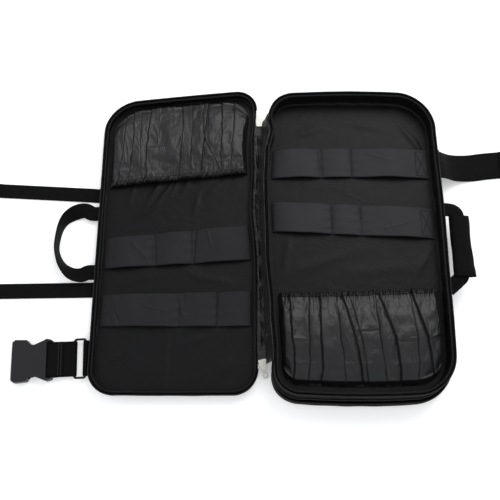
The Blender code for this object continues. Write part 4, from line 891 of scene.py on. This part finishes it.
# The cover's outer wall stands this far in from its outline
WALL_INSET = 0.0021
WALL_X = COVER["left"] + WALL_INSET - CLEARANCE - WEBBING / 2
STRAP_REACH = 0.385
NARROW_STRAP = 0.022
HEM_LENGTH = 0.009
# A run whose level part is shorter than this, as a share, is taken as upright
STEEP = 0.05


def strap(path, width, rolls=(0.0, 0.0), steps=160, thickness=WEBBING):
    """Flat webbing along a smooth line through these points, with rounded edges and closed ends."""
    long = sum((Vector(b) - Vector(a)).length for a, b in zip(path, path[1:]))
    frames, last = [], Vector((0.0, 1.0, 0.0))
    for i in range(steps + 1):
        run = (through(path, i / steps + 0.002) - through(path, i / steps - 0.002)).normalized()
        level = Vector((-run.y, run.x, 0.0))
        level = level.normalized() if level.length > STEEP else last
        last = level if level.dot(last) >= 0 or i == 0 else -level
        side = Matrix.Rotation(through([(r, 0.0) for r in rolls], i / steps)[0], 3, run) @ last
        frames.append((through(path, i / steps), side, run.cross(side).normalized()))

    def place(u, v):
        middle, side, up = frames[round(u * steps)]
        turn = 2 * math.pi * v
        c, s = math.cos(turn), math.sin(turn)
        reach = math.copysign(abs(c) ** 0.12, c) * width / 2
        deep = math.copysign(abs(s) ** 0.7, s) * thickness / 2
        return middle + side * reach + up * deep

    body = surface(place, steps, 32, (long, 2 * width), closed=True)
    bmesh.ops.holes_fill(body, edges=[edge for edge in body.edges if edge.is_boundary], sides=0)
    return body


def hem(x_end, y, towards):
    """The free end of a strap, turned back over itself: the last points of its line."""
    turn = (WEBBING + CLEARANCE) / 2
    centre = x_end - towards * (turn + WEBBING / 2)
    points = [(centre - towards * HEM_LENGTH * t, y, WEBBING / 2) for t in (1.0, 0.5)]
    for degrees in (-90, -45, 0, 45, 90):
        a = math.radians(degrees)
        points.append((centre + towards * turn * math.cos(a), y, WEBBING / 2 + turn + turn * math.sin(a)))
    return points + [(centre - towards * HEM_LENGTH * t, y, WEBBING / 2 + 2 * turn) for t in (0.5, 1.0)]


for name, start_y, end_y in (("cover_strap_upper", 0.069, 0.078), ("cover_strap_lower", -0.0745, -0.077)):
    path = [(WALL_X, start_y, 0.0102), (WALL_X, start_y, 0.0062), (WALL_X - 0.0016, start_y, 0.0030),
            (WALL_X - 0.006, start_y, WEBBING / 2)]
    for share in (0.1, 0.2, 0.3, 0.4, 0.5, 0.6, 0.7, 0.8, 0.88):
        path.append((WALL_X + (-STRAP_REACH - WALL_X) * share, start_y + (end_y - start_y) * share, WEBBING / 2))
    path += hem(-STRAP_REACH, end_y, -1.0)
    piece(name + "_webbing", strap(path, NARROW_STRAP), webbing, (name,))

TRAY_STRAP = 0.043
tray_side = tray_lay(TRAY["right"] - 0.0015, 0.107, 0.0).x + CLEARANCE + WEBBING / 2
path = [(tray_side, 0.107, 0.0410), (tray_side, 0.107, 0.0350), (tray_side + 0.002, 0.107, 0.0305),
        (tray_side + 0.011, 0.108, 0.0254), (tray_side + 0.026, 0.110, 0.0123),
        (tray_side + 0.042, 0.112, 0.0041), (tray_side + 0.060, 0.114, WEBBING / 2),
        (tray_side + 0.078, 0.1165, WEBBING / 2), (tray_side + 0.092, 0.118, WEBBING / 2)]
path += hem(STRAP_REACH, 0.119, 1.0)
piece("tray_strap_webbing", strap(path, TRAY_STRAP), webbing, ("tray_strap",))

HANDLE_SPAN = 0.093
HANDLE_REACH = 0.058
HANDLE_TOP = 0.041
# Carrying handle: share of the span from its far end, share of the reach, turn in degrees, height
HANDLE_BENDS = ((0.02, 0.00, 0, 0.0060), (0.02, 0.20, 0, 0.0055), (-0.03, 0.38, -8, 0.0055),
                (0.00, 0.58, -30, 0.0075), (0.10, 0.80, -62, 0.0102), (0.24, 0.93, -80, 0.0112),
                (0.42, 0.99, -86, 0.0113), (0.60, 1.00, -86, 0.0113), (0.76, 0.93, -78, 0.0112),
                (0.90, 0.80, -60, 0.0102), (1.00, 0.60, -30, 0.0075), (1.02, 0.38, -8, 0.0055),
                (0.98, 0.20, 0, 0.0055), (0.98, 0.00, 0, 0.0060))
path = [(WALL_X + WEBBING / 2 - HANDLE_REACH * out, HANDLE_TOP - HANDLE_SPAN * along, height)
        for along, out, _, height in HANDLE_BENDS]
rolls = [math.radians(row[2]) for row in HANDLE_BENDS]
piece("carry_handle_webbing", strap(path, NARROW_STRAP, rolls, 220), webbing, ("cover_handle",))

# ---- Grip ----
# A padded sleeve wrapped round a webbing loop on the tray's side and closed along its length. The cloth is
# worn and a little frayed at its near end.
GRIP_LENGTH = 0.088
GRIP_WIDTH = 0.030
GRIP_THICKNESS = 0.013
GRIP_HEIGHT = 0.034
GRIP_FAR = 0.024
# The finger gap beside the grip, the loop's webbing, and the sleeve's inner half, narrower and off centre
GRIP_GAP = 0.0065
GRIP_WEBBING = 0.020
SLEEVE_INNER = 0.84
SLEEVE_SHIFT = 0.0012
# Its ends close to this share of its width and thickness, turned in this deep
SLEEVE_MOUTH = (0.74, 0.30)
SLEEVE_TURN_IN = 0.004
GRIP_LOOP = ((0.0, -0.12), (0.30, -0.12), (0.75, -0.10), (1.0, -0.03), (1.0, 0.15), (1.0, 0.50), (1.0, 0.85),
             (0.96, 0.99), (0.66, 1.07), (0.34, 1.14), (0.0, 1.21))
# Sleeve: share of the length from its far end, share of the outer half width, share of the thickness
GRIP_SHAPE = ((0.0, 1.00, 0.80), (0.10, 1.02, 1.0), (0.45, 0.96, 1.0), (0.80, 1.06, 1.0), (0.93, 1.16, 1.0),
              (1.0, 1.20, 0.80))


def tray_wall_x(y):
    return tray_lay(side_x(TRAY, 0.0015, y, "right"), y, 0.0).x


grip_middle = tray_wall_x(GRIP_FAR) + GRIP_GAP + GRIP_WIDTH / 2
path = []
for out, along in GRIP_LOOP:
    y = GRIP_FAR - GRIP_LENGTH * along
    wall = tray_wall_x(y) + CLEARANCE
    path.append((wall + (grip_middle - wall) * out, y, GRIP_HEIGHT))
piece("grip_loop_webbing", strap(path, GRIP_WEBBING, steps=200), webbing, ("grip_webbing",))


def sleeve_place(u, v):
    """The sleeve: a soft flattened tube whose near end flares, with ridges where the wrap ends lie."""
    out, deep = [between([(row[0], row[k]) for row in GRIP_SHAPE], u) for k in (1, 2)]
    turn = 2 * math.pi * v
    c, s = math.cos(turn), math.sin(turn)
    ridge = 1.0 + 0.05 * uneven(u * 3, c * 1.5, s * 1.5)
    fray = 0.0018 * uneven(c * 4, s * 4, 2.0) * eased((u - 0.8) / 0.2)
    side = out if c > 0 else SLEEVE_INNER
    x = grip_middle + SLEEVE_SHIFT + math.copysign(abs(c) ** 0.6, c) * GRIP_WIDTH / 2 * side * ridge
    z = GRIP_HEIGHT + math.copysign(abs(s) ** 0.75, s) * GRIP_THICKNESS / 2 * deep * ridge
    return Vector((x, GRIP_FAR - GRIP_LENGTH * u + fray, z))


sleeve_body = surface(sleeve_place, 120, 64, (GRIP_LENGTH, 0.08), closed=True)
ends = [edge for edge in sleeve_body.edges if edge.is_boundary]
rims = bmesh.ops.extrude_edge_only(sleeve_body, edges=ends)["geom"]
for vert in [item for item in rims if isinstance(item, bmesh.types.BMVert)]:
    vert.co.x = grip_middle + (vert.co.x - grip_middle) * SLEEVE_MOUTH[0]
    vert.co.z = GRIP_HEIGHT + (vert.co.z - GRIP_HEIGHT) * SLEEVE_MOUTH[1]
    vert.co.y += SLEEVE_TURN_IN if vert.co.y < GRIP_FAR - GRIP_LENGTH / 2 else -SLEEVE_TURN_IN
# Sleeve cloth: the bag's coated cloth, softer and rubbed greyer with use
grip_cloth = woven("rubbed_oxford_cloth", "#080809", 0.0010, 0.74, 0.02, 0.0003, 0.0012, 0.012, 0.08)
sleeve = piece("grip_sleeve", sleeve_body, grip_cloth, ("grip_wrap",))

# ---- Ring, tab and buckle ----
# A moulded rectangular ring is held to the cover by a webbing tab. A short doubled strap joins it to the
# socket of a side-release buckle in dark grey acetal.
TAB_Y = -0.1715
BUCKLE_WEBBING = 0.048
RING_WIRE = 0.0016
RING_PITCH = 0.0148
BUCKLE_PITCH = 0.0315
BUCKLE_THICKNESS = 0.012
# The tab's middle, out from the cover's outline, and the slant of the ring, the strap and the buckle together
TAB_OUT = 0.0047
BUCKLE_SLANT = math.radians(3.0)
buckle_place = (Matrix.Translation((COVER["left"] - TAB_OUT, TAB_Y, BUCKLE_THICKNESS / 2))
                @ Matrix.Rotation(BUCKLE_SLANT, 4, "Z"))
# Acetal: moulded, dark grey, with a fine spark-eroded grain on its faces
acetal = new_material("moulded_acetal", {"Base Color": linear("#19181b"), "Specular IOR Level": 0.3,
                                         "Roughness": 0.42, "IOR": 1.48})
grain = add_node(acetal, "ShaderNodeTexNoise", {"Scale": 900.0, "Detail": 2.0},
                 {"Vector": (add_node(acetal, "ShaderNodeTexCoord"), "Object")})
grain_bump = add_node(acetal, "ShaderNodeBump", {"Strength": 0.4, "Distance": 0.0002},
                      {"Height": (grain, "Fac")})
acetal.node_tree.links.new(grain_bump.outputs["Normal"], shader_of(acetal).inputs["Normal"])
black_acetal = acetal.copy()
black_acetal.name = "black_acetal"
shader_of(black_acetal).inputs["Base Color"].default_value = linear("#0c0c0d")


def turn_round(x, radius, start, end):
    """Points in the buckle's frame where webbing goes round a bar across it at x."""
    turns = [math.radians(start + (end - start) * i / 6) for i in range(7)]
    return [(x + radius * math.cos(a), 0.0, radius * math.sin(a)) for a in turns]


def in_buckle_frame(body):
    bmesh.ops.transform(body, matrix=buckle_place, verts=body.verts[:])
    return body


# In the buckle's frame: half a layer of webbing, the radius of its turn round the ring, the half width and half
# height of its turn round the buckle's bar, and where its lap ends
LAYER = WEBBING / 2
WRAP = RING_WIRE + CLEARANCE + LAYER
BAR = (0.0036, 0.0031)
LAP_END = 0.0155
tab_path = [(0.0070, 0.0, LAYER), (0.0050, 0.0, LAYER)] + turn_round(0.0, WRAP, 50, 310)
tab_path += [(0.0050, 0.0, -LAYER), (0.0070, 0.0, -LAYER)]
tab_body = in_buckle_frame(strap(tab_path, BUCKLE_WEBBING, steps=90))
piece("ring_tab_webbing", tab_body, webbing, ("ring_tab",))
ring_x, bar_x = -RING_PITCH, -RING_PITCH - BUCKLE_PITCH
strap_path = [(bar_x + 0.012, 0.0, LAYER), (ring_x - 0.010, 0.0, LAYER), (ring_x - 0.005, 0.0, LAYER)]
strap_path += turn_round(ring_x, WRAP, 130, -130)
strap_path += [(ring_x - 0.005, 0.0, -LAYER), (ring_x - 0.013, 0.0, -LAYER), (bar_x + 0.010, 0.0, -LAYER)]
strap_path += [(bar_x + BAR[0], 0.0, -BAR[1]), (bar_x - BAR[0], 0.0, -BAR[1]),
               (bar_x - BAR[0] - LAYER, 0.0, 0.0), (bar_x - BAR[0], 0.0, BAR[1]), (bar_x + BAR[0], 0.0, BAR[1]),
               (bar_x + 0.009, 0.0, 3.2 * LAYER), (ring_x - LAP_END - 0.004, 0.0, 3.1 * LAYER),
               (ring_x - LAP_END, 0.0, 3.1 * LAYER)]
strap_body = in_buckle_frame(strap(strap_path, BUCKLE_WEBBING, steps=200))
piece("buckle_strap_webbing", strap_body, webbing, ("buckle_strap",))
lap_seams = bmesh.new()
for x in (ring_x - LAP_END - 0.0022, ring_x - LAP_END - 0.0060):
    stitches(lap_seams, [buckle_place @ Vector((x, BUCKLE_WEBBING * share, 4.2 * LAYER))
                         for share in (-0.46, 0.46)])
piece("buckle_strap_stitches", lap_seams, thread)

RING_CORNER = 0.003
ring_half = BUCKLE_WEBBING / 2 + 2 * CLEARANCE + RING_WIRE
ring_loop = []
for x, y, start in ((-RING_CORNER, RING_CORNER - ring_half, -90), (-RING_CORNER, ring_half - RING_CORNER, 0),
                    (RING_CORNER - RING_PITCH, ring_half - RING_CORNER, 90),
                    (RING_CORNER - RING_PITCH, RING_CORNER - ring_half, 180)):
    for step in range(9):
        a = math.radians(start + 90 * step / 8)
        ring_loop.append(Vector((x + RING_CORNER * math.cos(a), y + RING_CORNER * math.sin(a), 0.0)))
RING_SIDES = 20


def ring_wire(u, v):
    """The moulded wire of the ring at one of its corner points, swept right round."""
    i = round(u * len(ring_loop)) % len(ring_loop)
    run = (ring_loop[(i + 1) % len(ring_loop)] - ring_loop[i - 1]).normalized()
    out = Vector((run.y, -run.x, 0.0))
    turn = 2 * math.pi * v
    return ring_loop[i] + RING_WIRE * (out * math.cos(turn) + Vector((0, 0, 1)) * math.sin(turn))


ring_body = surface(ring_wire, len(ring_loop), RING_SIDES, (0.13, 2 * math.pi * RING_WIRE), closed=True)
piece("strap_ring_moulding", in_buckle_frame(ring_body), black_acetal, ("strap_ring",))


def coat(node, material):
    """Gives a solid that is kept as it is its material."""
    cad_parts[node].data.materials.clear()
    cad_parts[node].data.materials.append(material)


coat("buckle_socket", acetal)

# ---- Zip sliders and pulls ----
# Die-cast sliders at the two ends of the zip, nickel plated, each with a flat pull with a slot in it.
nickel = new_material("nickel_plate", {"Base Color": linear("#c4c3bc"), "Metallic": 1.0, "Roughness": 0.48})
for name in ("zip_slider_upper", "zip_slider_lower", "zip_pull_upper", "zip_pull_lower"):
    coat(name, nickel)
